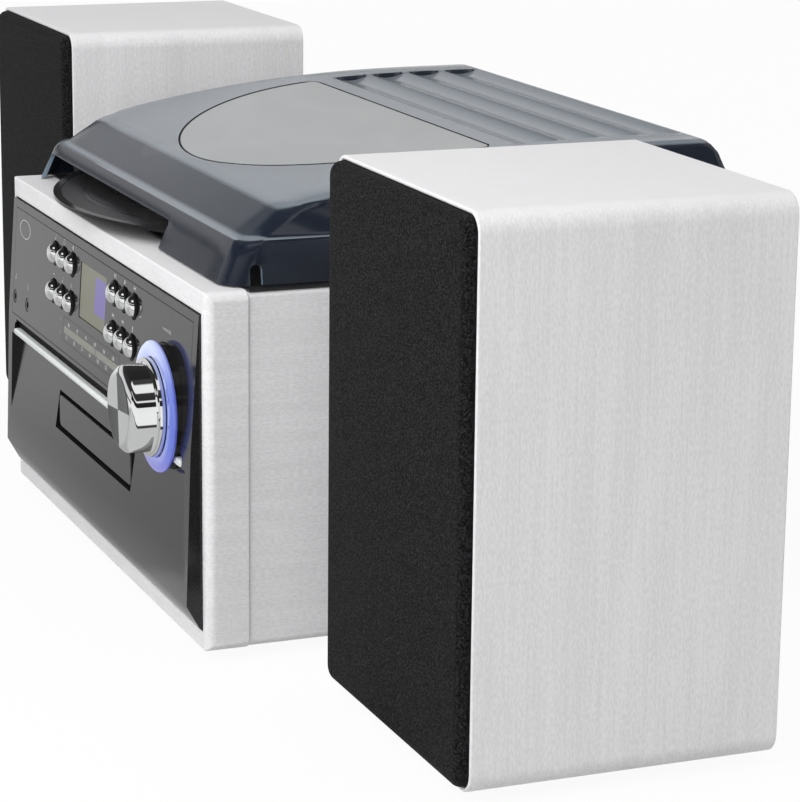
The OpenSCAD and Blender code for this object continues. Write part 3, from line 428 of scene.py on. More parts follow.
@dataclass(frozen=True)
class Chrome(Finish):
    """Bright plating over a moulding."""

    name: str
    base: float

    def paint(self, graph: Graph) -> None:
        """Gives the plating a faint haze."""
        haze = graph.noise(160.0)
        light = (self.base, self.base * 1.005, self.base * 1.01)
        graph.shade(Base_Color=graph.mix(haze, shade_of(light, 0.93), light), Metallic=1.0,
                    Roughness=haze * 0.05 + 0.02, Normal=graph.bump(haze, 0.000004, 0.5))


@dataclass(frozen=True)
class SpunFace(Finish):
    """Knob face turned on a lathe, with the bow-tie sheen of such a finish painted into its colour.
    """

    name: str
    centre: Point
    # Angle of the painted sheen's quarters, in radians.
    turn: float = 2.98
    ring_pitch: float = 0.00035

    def paint(self, graph: Graph) -> None:
        """Paints the bow-tie sheen as bright and dark quarters and scores fine rings."""
        x, _, z = graph.axes()
        dx, dz = x - self.centre[0], z - self.centre[2]
        # Painted highlight: the sheen of the spun face is painted as bright and dark quarters of the
        # colour.
        painted_sheen = (dz.angle_over(dx) * 2.0 + self.turn).sin()
        rings = dx.distance(dz).wave(self.ring_pitch)
        fine = graph.noise(600.0)
        quarter = painted_sheen.step(-0.06, 0.06) * 0.9 + fine * 0.1
        graph.shade(Base_Color=graph.mix(quarter, (0.035, 0.037, 0.038), (0.9, 0.93, 0.92)),
                    Metallic=1.0, Roughness=fine * 0.08 + 0.22,
                    Normal=graph.bump(rings, 0.000006, 0.4))


@dataclass(frozen=True)
class RingLight(Finish):
    """Translucent ring with a blue light behind it."""

    name: str
    centre: Point
    outer: float = 0.032

    def paint(self, graph: Graph) -> None:
        """Runs from pale blue at the top left to violet at the bottom."""
        x, y, z = graph.axes()
        dx, dz = (x - self.centre[0]) / self.outer, (z - self.centre[2]) / self.outer
        lift = (dz * 0.5 - dx * 0.55 + 0.5).step(0.0, 1.0)
        low = (0.0 - dz).step(0.35, 1.0)
        cloud = graph.noise(70.0)
        inner = 1.0 - dx.distance(dz).step(0.77, 0.93)
        edge = (y - self.centre[1]).step(-0.0003, 0.0008)
        hue = graph.mix(lift, (0.10, 0.155, 0.62), (0.64, 0.72, 1.0))
        hue = graph.mix(low * 0.8, hue, (0.20, 0.17, 0.62))
        hue = graph.mix(inner * 0.45 * cloud.step(0.3, 0.6), hue, (0.50, 0.58, 0.90))
        hue = graph.mix(edge * 0.75, hue, (0.05, 0.06, 0.36))
        graph.shade(Base_Color=(0.05, 0.06, 0.16), Emission_Color=hue, Emission_Strength=0.8,
                    Roughness=0.12, Coat_Weight=0.5, Coat_Roughness=0.03,
                    Normal=graph.bump(cloud, 0.0001, 0.3))


@dataclass(frozen=True)
class Screen(Finish):
    """Liquid crystal screen with its backlight bleeding at one end."""

    name: str
    low: Point
    high: Point
    cell: float = 0.0008

    def paint(self, graph: Graph) -> None:
        """Fades from the resting screen to the lit patch and draws the pixel mask."""
        x, _, z = graph.axes()
        u = (x - self.low[0]) / (self.high[0] - self.low[0])
        v = (z - self.low[2]) / (self.high[2] - self.low[2])
        patch = u.step(0.55, 0.60) * v.step(0.24, 0.29) * (1.0 - v.step(0.88, 0.93))
        cells = x.wave(self.cell) * z.wave(self.cell) * 0.5 + 0.5
        rest = graph.mix(cells * 0.5 + v * 0.5, (0.19, 0.19, 0.14), (0.24, 0.24, 0.185))
        lit = graph.mix(cells * 0.4 + v * 0.6, (0.19, 0.15, 0.42), (0.24, 0.21, 0.50))
        graph.shade(Base_Color=grey(0.02), Emission_Color=graph.mix(patch, rest, lit),
                    Emission_Strength=0.8, Roughness=0.4, Specular_IOR_Level=0.25,
                    Normal=graph.bump(cells, 0.00002, 0.2))


@dataclass(frozen=True)
class Grooved(Finish):
    """Long-playing record: bare label, grooves in bands and a smooth rim."""

    name: str
    centre: Point
    groove_pitch: float = 0.0005
    band_pitch: float = 0.0173

    def paint(self, graph: Graph) -> None:
        """Cuts the grooves by radius and leaves gaps between the bands."""
        x, y, _ = graph.axes()
        radius = (x - self.centre[0]).distance(y - self.centre[1])
        label = 1.0 - radius.step(0.0495, 0.0505)
        cut = radius.step(0.060, 0.0605) * (1.0 - radius.step(0.1462, 0.1467))
        grooves = cut * radius.wave(self.band_pitch).step(-0.985, -0.93)
        rings = radius.wave(self.groove_pitch) * 0.5 + 0.5
        grain = graph.noise(300.0)
        tone = graph.mix(grain, (0.010, 0.010, 0.011), (0.016, 0.016, 0.017))
        tone = graph.mix(grooves * rings * 0.6, tone, (0.028, 0.028, 0.030))
        paper = graph.mix(grain, (0.30, 0.07, 0.05), (0.34, 0.09, 0.06))
        graph.shade(Base_Color=graph.mix(label, tone, paper), Specular_IOR_Level=0.1,
                    Roughness=label * 0.45 + grooves * 0.14 + 0.14,
                    Normal=graph.bump(rings * grooves, 0.00006, 0.35))


@dataclass(frozen=True)
class Board(Finish):
    """Printed circuit board with copper tracks under green lacquer."""

    name: str

    def paint(self, graph: Graph) -> None:
        """Draws tracks from a stepped cell pattern."""
        cells = graph.value("ShaderNodeTexVoronoi",
                            {"feature": "DISTANCE_TO_EDGE", "distance": "EUCLIDEAN"},
                            Vector=graph.scaled((260.0,) * 3), Scale=1.0)
        track = 1.0 - cells.step(0.03, 0.07)
        grain = graph.noise(400.0)
        base = graph.mix(grain, (0.010, 0.060, 0.022), (0.016, 0.085, 0.030))
        graph.shade(Base_Color=graph.mix(track, base, (0.05, 0.17, 0.05)),
                    Roughness=grain * 0.2 + 0.3, Normal=graph.bump(track, 0.00004, 0.5))


@dataclass(frozen=True)
class Brushed(Finish):
    """Metal brushed one way."""

    name: str
    light: Colour
    rough: float
    scale: Point
    metal: float = 1.0

    def paint(self, graph: Graph) -> None:
        """Draws fine lines along the brushing."""
        lines = graph.noise(self.scale, 3.0)
        tone = graph.mix(lines.step(0.3, 0.7), shade_of(self.light, 0.8), self.light)
        graph.shade(Base_Color=tone, Metallic=self.metal,
                    Roughness=lines * 0.15 + (self.rough - 0.07),
                    Normal=graph.bump(lines, 0.00001, 0.5))


DECK_BLACK = Moulded("deck_black", (0.012, 0.012, 0.013), (0.020, 0.020, 0.021), (0.3, 0.4))


def along_y(a: Vector, b: Vector) -> bool:
    """Tells whether the edge between two points runs along y."""
    return abs(a.y - b.y) > MM


class Bench:
    """Modelling steps that every sub-assembly uses, all done with Blender's own operators."""

    @staticmethod
    def mode(name: str) -> None:
        """Switches between object and edit mode."""
        bpy.ops.object.mode_set(mode=name)

    @classmethod
    def clear(cls) -> None:
        """Deselects everything in object mode."""
        if bpy.context.object and bpy.context.object.mode != "OBJECT":
            cls.mode("OBJECT")
        bpy.ops.object.select_all(action="DESELECT")

    @classmethod
    def pick(cls, obj: Any) -> None:
        """Selects one object alone."""
        cls.clear()
        obj.select_set(True)
        bpy.context.view_layer.objects.active = obj

    @classmethod
    def settle(cls, obj: Any) -> Any:
        """Puts the object's place into its mesh."""
        cls.pick(obj)
        bpy.ops.object.transform_apply(location=True, rotation=True, scale=True)
        return obj

    @classmethod
    def block(cls, name: str, low: Vector, high: Vector) -> Any:
        """Adds a block between two corners.

        Args:
            name: the piece's name.
            low: its lowest corner.
            high: its highest corner.

        Returns:
            The object.
        """
        cls.clear()
        bpy.ops.mesh.primitive_cube_add(size=1.0, location=(low + high) / 2)
        made = bpy.context.active_object
        made.name = name
        made.scale = high - low
        return cls.settle(made)

    @classmethod
    def edit(cls, obj: Any, kind: str, whole: bool = True) -> None:
        """Opens an object in edit mode.

        Args:
            obj: the object.
            kind: what is selected, VERT, EDGE or FACE.
            whole: whether everything is selected, or nothing.
        """
        cls.pick(obj)
        cls.mode("EDIT")
        bpy.ops.mesh.select_mode(type=kind)
        bpy.ops.mesh.select_all(action="SELECT" if whole else "DESELECT")

    @classmethod
    def round_edges(cls, obj: Any, test: EdgeTest, radius: float, segments: int) -> None:
        """Rounds some edges.

        Args:
            obj: the object.
            test: takes the two ends of an edge and tells whether it is rounded.
            radius: the radius in millimetres.
            segments: the facets round it.
        """
        cls.edit(obj, "EDGE", whole=False)
        cls.mode("OBJECT")
        points = obj.data.vertices
        for edge in obj.data.edges:
            edge.select = test(*(points[n].co for n in edge.vertices))
        cls.mode("EDIT")
        bpy.ops.mesh.bevel(offset=radius * MM, segments=segments, affect="EDGES", profile=0.5)
        cls.mode("OBJECT")

    @classmethod
    def round_front(cls, obj: Any, face: float, radius: float, segments: int) -> None:
        """Rounds the edges round the front face, which lies at a y in metres."""
        cls.round_edges(obj, lambda a, b: max(a.y, b.y) < face + 1e-5, radius, segments)

    @classmethod
    def turned(cls, name: str, profile: Sequence[tuple[float, float]], centre: Vector, axis: Axis,
               steps: int) -> Any:
        """Turns a profile round an axis.

        Args:
            name: the piece's name.
            profile: radius and place along the axis of each point, in millimetres.
            centre: a point on the axis, from which the places are measured.
            axis: the axis.
            steps: facets round it.

        Returns:
            The object, closed and with its faces outward.
        """
        along = Vector(axis.value)
        points = [centre + Vector((r * MM, 0, 0)) + along * (a * MM) for r, a in profile]
        cls.clear()
        bpy.ops.mesh.primitive_circle_add(vertices=3, radius=MM, location=(0, 0, 0))
        made = bpy.context.active_object
        made.name = name
        cls.edit(made, "VERT")
        bpy.ops.mesh.merge(type="CENTER")
        cls.mode("OBJECT")
        made.data.vertices[0].co = points[0]
        cls.edit(made, "VERT")
        for start, end in zip(points, points[1:]):
            bpy.ops.mesh.extrude_region_move(TRANSFORM_OT_translate={"value": end - start})
        bpy.ops.mesh.select_all(action="SELECT")
        bpy.ops.mesh.spin(steps=steps, angle=FULL_TURN, center=centre, axis=along)
        cls.close_up(made)
        return made

    @classmethod
    def close_up(cls, obj: Any, threshold: float = 1e-6) -> None:
        """Merges doubles and turns every face outward."""
        cls.edit(obj, "VERT")
        bpy.ops.mesh.remove_doubles(threshold=threshold)
        bpy.ops.mesh.normals_make_consistent(inside=False)
        cls.mode("OBJECT")

    @classmethod
    def modify(cls, obj: Any, kind: str, **settings: Any) -> None:
        """Adds a modifier and applies it."""
        cls.pick(obj)
        made = obj.modifiers.new(kind.lower(), kind)
        for key, value in settings.items():
            setattr(made, key, value)
        bpy.ops.object.modifier_apply(modifier=made.name)

    @classmethod
    def smooth(cls, obj: Any, degrees: float) -> Any:
        """Shades smoothly across edges under an angle."""
        cls.pick(obj)
        bpy.ops.object.shade_smooth_by_angle(angle=math.radians(degrees))
        return obj

    @staticmethod
    def duplicate(source: Any, name: str) -> Any:
        """Copies an object with its mesh, free of its parent and custom properties."""
        made = source.copy()
        made.data = source.data.copy()
        made.name = name
        made.parent = None
        for key in list(made.keys()):
            del made[key]
        bpy.context.scene.collection.objects.link(made)
        return made

    @classmethod
    def softened(cls, node: str, name: str, radius: float, segments: int) -> Any:
        """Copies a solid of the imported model, makes its flat faces whole and rounds its edges.

        Args:
            node: the solid's node.
            name: the copy's name.
            radius: the radius of the edges in millimetres.
            segments: the facets round them.

        Returns:
            The copy.
        """
        sharp = 32.0
        made = cls.duplicate(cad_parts[node], name)
        cls.pick(made)
        if made.data.has_custom_normals:
            bpy.ops.mesh.customdata_custom_splitnormals_clear()
        cls.close_up(made, 2e-6)
        cls.edit(made, "FACE")
        bpy.ops.mesh.dissolve_limited(angle_limit=math.radians(0.4))
        cls.mode("OBJECT")
        cls.modify(made, "BEVEL", width=radius * MM, segments=segments, limit_method="ANGLE",
                   angle_limit=math.radians(sharp), use_clamp_overlap=True, harden_normals=False)
        cls.smooth(made, sharp)
        cls.modify(made, "WEIGHTED_NORMAL", keep_sharp=True)
        return made

    @classmethod
    def cut(cls, obj: Any, cutter: Any, operation: str = "DIFFERENCE") -> None:
        """Cuts one object with another and removes the cutter."""
        cls.modify(obj, "BOOLEAN", object=cutter, operation=operation, solver="EXACT",
                   material_mode="TRANSFER")
        bpy.data.objects.remove(cutter)

    @classmethod
    def joined(cls, name: str, parts: Sequence[Any]) -> Any:
        """Joins several objects into one of a given name."""
        cls.clear()
        for part in parts:
            part.select_set(True)
        bpy.context.view_layer.objects.active = parts[0]
        bpy.ops.object.join()
        made = bpy.context.active_object
        made.name = name
        return made

    @staticmethod
    def dress(obj: Any, finish: Finish) -> Any:
        """Gives an object one finish all over."""
        obj.data.materials.clear()
        obj.data.materials.append(finish.material())
        return obj

    @staticmethod
    def dress_some(obj: Any, finish: Finish, test: Callable[[Any], bool]) -> None:
        """Gives the faces that pass a test a second finish."""
        obj.data.materials.append(finish.material())
        for polygon in obj.data.polygons:
            if test(polygon):
                polygon.material_index = 1


def place_piece(obj: Any, body: str, slot: str, *nodes: str) -> None:
    """Fixes a new piece to its body and hides the solids that it stands for.

    Args:
        obj: the piece.
        body: the body's name.
        slot: not used.
        nodes: the solids that it replaces.
    """
    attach(obj, body)
    if nodes:
        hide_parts(*nodes)
    LOG.info("%s rides on %s", obj.name, body)


@dataclass
class Studio:
    """Camera, floor, surroundings and lamps, in metres, degrees and pixels."""

    eye: Point = (1.42635, -0.54831, 0.45484)
    azimuth: float = 67.961
    elevation: float = 13.907
    roll: float = 0.625
    focal: float = 2916.8
    image_height: float = 802.0
    ambient: float = 0.74
    lamps: list[tuple[str, Point, Point, float, float]] = field(default_factory=lambda: [
        ("top_lamp", (0.1, 0.1, 2.4), (0.0, 0.0, 0.1), 2.2, 6.0),
        ("side_lamp", (2.6, -0.6, 1.6), (0.1, 0.0, 0.15), 1.8, 1.5),
        ("near_lamp", (0.5, -0.85, 0.75), (-0.05, 0.0, 0.15), 0.9, 9.0),
    ])

    def build(self) -> None:
        """Makes the whole studio."""
        bpy.context.scene.view_settings.view_transform = "Standard"
        self.camera()
        self.floor()
        self.surroundings()
        for name, place, aim, size, power in self.lamps:
            self.lamp(name, Vector(place), Vector(aim), size, power)

    def camera(self) -> None:
        """Puts the camera at the photograph's angle."""
        a, e, r = (math.radians(v) for v in (self.azimuth, self.elevation, self.roll))
        back = Vector((math.sin(a) * math.cos(e), -math.cos(a) * math.cos(e), math.sin(e)))
        level = Vector((math.cos(a), math.sin(a), 0.0))
        up = back.cross(level)
        right = level * math.cos(r) + up * math.sin(r)
        above = up * math.cos(r) - level * math.sin(r)
        data = bpy.data.cameras.new("camera")
        data.lens = self.focal * data.sensor_width / self.image_height
        data.clip_start, data.clip_end = 0.05, 60.0
        made = bpy.data.objects.new("camera", data)
        bpy.context.scene.collection.objects.link(made)
        made.rotation_mode = "QUATERNION"
        turn = Matrix((right, above, back)).transposed()
        made.matrix_world = Matrix.Translation(Vector(self.eye)) @ turn.to_4x4()
        bpy.context.scene.camera = made

    def floor(self) -> None:
        """Lays a pale floor, white to the camera, shadowed when lit and banded to gloss."""
        Bench.clear()
        bpy.ops.mesh.primitive_plane_add(size=60.0, location=(0, 0, 0))
        made = bpy.context.active_object
        made.name = "floor"
        material = bpy.data.materials.new("pale_floor")
        material.use_nodes = True
        graph = Graph(material.node_tree)
        mirrored = graph.rays("Glossy", "Transmission")
        share = (graph.rays("Camera") * 0.92).at_least(mirrored)
        across = graph.axes()[0]
        tone: Any = grey(0.74)
        for low, high, next_tone in ((-0.75, -0.05, grey(0.46)), (0.02, 0.06, (0.62, 0.63, 0.62)),
                                     (0.27, 0.28, grey(0.05)), (0.31, 0.33, grey(1.0))):
            tone = graph.mix(across.step(low, high), tone, next_tone)
        matt = graph.node("ShaderNodeBsdfDiffuse", None, Color=grey(0.6))
        glow = graph.node("ShaderNodeEmission", None, Strength=1.02,
                          Color=graph.mix(mirrored, grey(1.0), tone))
        graph.finish("ShaderNodeOutputMaterial",
                     graph.blend(share, matt.outputs[0], glow.outputs[0]))
        made.data.materials.append(material)

    def surroundings(self) -> None:
        """Makes the surroundings: white to the camera, banded like a studio to gloss."""
        world = bpy.data.worlds.new("studio")
        world.use_nodes = True
        bpy.context.scene.world = world
        graph = Graph(world.node_tree)
        x, _, height = graph.axes(graph.node("ShaderNodeTexCoord").outputs["Generated"])
        left_bands = ((0.0, grey(0.95)), (0.09, grey(0.92)), (0.11, grey(0.12)),
                      (0.15, grey(0.12)), (0.17, (0.85, 0.85, 0.86)), (0.34, (0.72, 0.72, 0.74)),
                      (0.40, grey(0.04)), (1.0, grey(0.02)))
        right_bands = ((0.0, grey(1.0)), (0.225, grey(1.0)), (0.24, grey(0.015)),
                       (0.43, grey(0.02)), (0.445, grey(0.9)), (0.50, grey(0.9)),
                       (0.52, grey(0.03)), (0.76, grey(0.04)), (0.78, grey(1.0)),
                       (0.95, grey(1.0)), (0.97, grey(0.05)))
        left, right = (graph.node("ShaderNodeValToRGB", {"stops": stops}, Fac=height).outputs[0]
                       for stops in (left_bands, right_bands))
        mirror = graph.mix(x.step(-0.02, 0.02), left, right)
        white, gloss, soft = (
            graph.node("ShaderNodeBackground", None, Color=colour, Strength=strength).outputs[0]
            for colour, strength in ((grey(1.0), 1.0), (mirror, 1.0), (grey(1.0), self.ambient)))
        lighting = graph.blend(graph.rays("Glossy"), soft, gloss)
        graph.finish("ShaderNodeOutputWorld",
                     graph.blend(graph.rays("Camera", "Transmission"), lighting, white))

    @staticmethod
    def lamp(name: str, place: Vector, aim: Vector, size: float, power: float) -> None:
        """Adds a soft area lamp that isn't mirrored in gloss."""
        data = bpy.data.lights.new(name, "AREA")
        data.size = size
        data.energy = power
        made = bpy.data.objects.new(name, data)
        bpy.context.scene.collection.objects.link(made)
        made.location = place
        made.rotation_euler = (aim - place).to_track_quat("-Z", "Y").to_euler()
        made.visible_glossy = False


@dataclass(frozen=True)
class Shift:
    """Inward and downward moves of one level from the outer to the inner skin."""

    side: float
    side_down: float
    front: float
    front_down: float
    back: float
    back_down: float


@dataclass(frozen=True)
class Ring:
    """One level of the cover's wall, from its lower edge to the flat of its crown."""

    side: float
    side_z: float
    front: float
    front_z: float
    back: float
    back_z: float
    front_corner: float
    back_corner: float
    on_crown: bool = False

    def inside(self, shift: Shift, wall: float) -> "Ring":
        """Returns the same level of the inner skin.

        Args:
            shift: how far the level moves for each millimetre of wall.
            wall: the wall's thickness in millimetres.

        Returns:
            The inner level.
        """
        corners = (max(0.4, corner - wall * shift.side)
                   for corner in (self.front_corner, self.back_corner))
        return Ring(self.side + wall * shift.side, self.side_z - wall * shift.side_down,
                    self.front + wall * shift.front, self.front_z - wall * shift.front_down,
                    self.back + wall * shift.back, self.back_z - wall * shift.back_down,
                    *corners, self.on_crown)


@dataclass
class DustCover:
    """Two-tier smoked cover with its pale window, louvres, notches and hinge lugs.

    The window is given by its half width, its length and the y of its straight side, and the flat
    of the crown by its insets from the sides, the front and the back.
    """

    half_w: float = 168.0
    front: float = 11.5
    back: float = 296.5
    crown_z: float = 229.9
    crown_y: float = 238.0
    crown_front: float = 51.0
    crown_drop: float = 19.9
    crown_power: float = 2.2
    step_z: float = 195.9
    step_inset: float = 7.0
    wall: float = 2.5
    flat: Point = (30.0, 56.0, 30.0)
    window: Point = (127.0, 115.0, 165.0)
    window_wall: float = 1.2
    window_corner: float = 9.0
    louvre_y: float = 176.5
    louvre_pitch: float = 22.5
    louvre_depth: float = 2.5
    louvres: int = 4
    hinge_x: float = 110.0
    rings: tuple[Ring, ...] = (
        Ring(0.0, 174.9, 0.0, 174.9, 0.0, 174.9, 14.0, 14.0),
        Ring(2.2, 189.6, 5.0, 185.6, 0.1, 187.2, 13.5, 13.0),
        Ring(2.8, 193.3, 7.6, 191.4, 1.5, 191.4, 13.0, 12.0),
        Ring(3.9, 195.3, 9.9, 194.4, 4.4, 194.5, 13.0, 11.0),
        Ring(5.7, 195.9, 12.4, 194.9, 6.8, 195.6, 12.5, 10.0),
        Ring(7.2, 197.3, 15.2, 196.3, 8.2, 198.0, 12.5, 9.0),
        Ring(-0.8, -4.6, 30.4, 206.9, 18.8, 217.0, 13.0, 7.0, True),
        Ring(0.2, -1.7, 34.6, 208.9, 23.4, 224.6, 13.0, 5.0, True),
        Ring(2.6, -0.3, 39.5, 209.8, 26.8, 228.6, 12.0, 3.0, True),
        Ring(6.5, 0.0, 46.0, 211.6, 28.8, 229.8, 9.0, 1.0, True),
    )
    shifts: tuple[Shift, ...] = (
        Shift(1.0, 0.0, 1.0, 0.0, 1.0, 0.0), Shift(1.0, 0.0, 0.92, 0.0, 1.0, 0.0),
        Shift(1.0, 0.3, 0.9, 0.36, 0.92, 0.4), Shift(0.92, 0.76, 0.6, 0.8, 0.64, 0.84),
        Shift(0.88, 0.96, 0.24, 0.96, 0.76, 0.88), Shift(1.0, 0.8, 0.4, 0.92, 0.92, 0.48),
        Shift(1.0, 0.16, 0.56, 0.84, 0.88, 0.48), Shift(0.88, 0.68, 0.44, 0.92, 0.8, 0.64),
        Shift(0.56, 0.96, 0.28, 0.98, 0.4, 0.96), Shift(0.2, 1.0, 0.12, 1.0, 0.12, 1.0),
    )

    def crown(self, y: float) -> float:
        """Height of the crown at a distance behind the frame's face."""
        share = max(0.0, (self.crown_y - y) / (self.crown_y - self.crown_front))
        return self.crown_z - self.crown_drop * share ** self.crown_power

    def under_louvres(self, x: float, y: float) -> float:
        """Extra depth of the flat underside below the louvres."""
        over = abs(x) < self.window[0] + 3.0 and y > self.louvre_y - 0.5
        return self.louvre_depth if over else 0.0

    def louvre(self, x: float, y: float) -> float:
        """Depth of the louvres at a place on the crown."""
        run = (y - self.louvre_y) / self.louvre_pitch
        if abs(x) > self.window[0] + 1.2 or not 0 <= run <= self.louvres:
            return 0.0
        share = 2 * (run - math.floor(run)) - 1
        return self.louvre_depth * (1 - share * share)

    def lines(self) -> tuple[list[float], list[float]]:
        """Returns the places of the grid lines on the crown, in x and in y."""
        edge = self.half_w - self.flat[0]
        half = [0.0, 20, 40, 60, 78, 94, 106, 115, 121, 125, 127.6, 128.2, 129.4, 133, edge]
        xs = [-x for x in reversed(half[1:])] + half
        first = self.front + self.flat[1]
        before = 18
        ys = [first + (self.louvre_y - 1 - first) * n / before for n in range(before + 1)]
        shares = (0.0, 0.03, 0.08, 0.16, 0.27, 0.4, 0.5, 0.6, 0.73, 0.84, 0.92, 0.97)
        for n in range(self.louvres):
            ys += [self.louvre_y + self.louvre_pitch * (n + s) for s in shares]
        ys.append(self.back - self.flat[2])
        return xs, ys

    def side_at(self, ring: Ring, y: float) -> tuple[float, float]:
        """Inset and height of a ring on the side walls at a y."""
        if not ring.on_crown:
            return ring.side, ring.side_z
        top = self.crown(max(y, self.crown_front))
        edge = self.step_inset + 6.0 * (top - self.step_z) / 35.0
        return edge + ring.side, top + ring.side_z

    def corner_point(self, ring: Ring, turn: float, behind: bool) -> Point:
        """Finds a point on the corner of a ring.

        Args:
            ring: the level.
            turn: 0 at the side to 1 at the front or back.
            behind: whether it is a back corner.

        Returns:
            Its inset from the side, its y and its z.
        """
        inset, level = (ring.back, ring.back_z) if behind else (ring.front, ring.front_z)
        radius = ring.back_corner if behind else ring.front_corner
        angle = turn * math.pi / 2
        deep = inset + radius * (1 - math.sin(angle))
        y = self.back - deep if behind else self.front + deep
        side, side_z = self.side_at(ring, y)
        blend = turn * turn * (3 - 2 * turn)
        return side + radius * (1 - math.cos(angle)), y, side_z * (1 - blend) + level * blend

    def moved(self, rings: Sequence[Ring], wall: float, cell: tuple[int, int],
              lines: tuple[Sequence[float], Sequence[float]]) -> Point:
        """Finds where a point of the grid goes.

        Args:
            rings: the levels of this skin.
            wall: how far it lies under the outer skin, in millimetres.
            cell: its column and row.
            lines: the places of the lines on the crown, in x and in y.

        Returns:
            Its place in millimetres.
        """
        levels = len(rings)
        (i, j), (xs, ys) = cell, lines
        far_i, far_j = (2 * levels + len(run) - 1 - n for run, n in zip(lines, cell))
        ki, kj = min(i, far_i), min(j, far_j)
        behind = j > far_j
        if ki < levels:
            if kj < levels:
                k = min(ki, kj)
                whole = 2 * (levels - k)
                turn = (levels - kj) / whole if ki <= kj else 1 - (levels - ki) / whole
                inset, y, z = self.corner_point(rings[k], turn, behind)
            else:
                y = ys[j - levels]
                inset, z = self.side_at(rings[ki], y)
            x = self.half_w - inset
            return (-x if i < far_i else x), y, z
        x = xs[i - levels]
        if kj < levels:
            ring = rings[kj]
            if behind:
                return x, self.back - ring.back, ring.back_z
            return x, self.front + ring.front, ring.front_z
        y = ys[j - levels]
        if wall:
            return x, y, self.crown(y) - wall - self.under_louvres(x, y)
        return x, y, self.crown(y) - self.louvre(x, y)

    def shell(self, name: str, wall: float, finish: Finish) -> Any:
        """Shapes a grid into the closed shell of the cover without its openings.

        Args:
            name: the object's name.
            wall: its thickness in millimetres.
            finish: its finish.

        Returns:
            The shell.
        """
        lines = self.lines()
        nx, ny = (2 * len(self.rings) + len(run) - 1 for run in lines)
        Bench.clear()
        bpy.ops.mesh.primitive_grid_add(x_subdivisions=nx, y_subdivisions=ny, size=2.0)
        made = bpy.context.active_object
        made.name = name
        points = made.data.vertices
        cells = [(round((p.co.x + 1) / 2 * nx), round((p.co.y + 1) / 2 * ny)) for p in points]
        Bench.modify(made, "SOLIDIFY", thickness=0.01, offset=-1.0)
        inner = [ring.inside(shift, wall) for ring, shift in zip(self.rings, self.shifts)]
        points = made.data.vertices
        for index, cell in enumerate(cells):
            points[index].co = UNIT.at(*self.moved(self.rings, 0.0, cell, lines))
            points[index + len(cells)].co = UNIT.at(*self.moved(inner, wall, cell, lines))
        made.data.update()
        return Bench.dress(made, finish)

    def window_block(self, grow: float) -> Any:
        """Makes the upright prism over the window's half ellipse.

        Args:
            grow: how far its outline grows, in millimetres.

        Returns:
            The prism.
        """
        half, length, back = self.window
        sweep, quarter, foot, rise = 85, 90, 190.0, 0.06
        Bench.clear()
        bpy.ops.mesh.primitive_circle_add(vertices=144, radius=1.0, fill_type="NGON",
                                          location=(0, 0, 0))
        made = bpy.context.active_object
        made.name = "window_block"
        w, l, r, edge = half + grow, length + grow, self.window_corner + grow, back + grow
        for vertex in made.data.vertices:
            angle = math.atan2(vertex.co.y, vertex.co.x)
            if vertex.co.y > 1e-6:
                middle = (w - r) if vertex.co.x >= 0 else (r - w)
                x, y = middle + r * math.cos(angle), edge - r + r * math.sin(angle)
            else:
                angle = (abs(angle) - math.pi / 2) * sweep / quarter
                x, y = -w * math.sin(angle), edge - l * math.cos(angle)
            vertex.co = UNIT.at(x, y, foot)
        made.data.update()
        Bench.edit(made, "FACE")
        bpy.ops.mesh.extrude_region_move(TRANSFORM_OT_translate={"value": (0, 0, rise)})
        Bench.close_up(made, 2e-5)
        return made

    @staticmethod
    def notch_block(name: str, low: Point, high: Point, wide: int, radius: float,
                    segments: int) -> Any:
        """Makes the block that cuts a notch with round upper corners.

        Args:
            name: its name.
            low: its lowest corner in millimetres.
            high: its highest corner in millimetres.
            wide: 0 for a notch in the front, that is wide in x, and 1 for one in a side.
            radius: the radius of its corners in millimetres.
            segments: the facets round them.

        Returns:
            The block.
        """
        made = Bench.block(name, UNIT.at(*low), UNIT.at(*high))
        top = UNIT.at(*high).z - 0.5 * MM
        Bench.round_edges(made, lambda a, b: min(a.z, b.z) > top and abs(a[wide] - b[wide]) < 1e-6,
                          radius, segments)
        return made

    def lugs(self) -> Any:
        """Makes the two ears that turn on the hinge pins."""
        made = []
        profile = [(1.9, -4.4), (3.0, -4.4), (3.5, -4.0), (3.5, 4.0), (3.0, 4.4), (1.9, 4.4),
                   (1.9, -4.4)]
        for x in (-self.hinge_x, self.hinge_x):
            barrel = Bench.turned("lug", profile, Vector((0, 0, 0)), Axis.Y, 40)
            for vertex in barrel.data.vertices:
                out, along, up = vertex.co
                vertex.co = UNIT.at(x, 301.0, 179.4) + Vector((along, -out, up))
            arm = Bench.block("lug_arm", UNIT.at(x - 4.4, 296.0, 177.9),
                              UNIT.at(x + 4.4, 298.6, 180.9))
            Bench.modify(arm, "BEVEL", width=0.4 * MM, segments=2)
            made += [barrel, arm]
        return Bench.joined("cover_lugs", made)

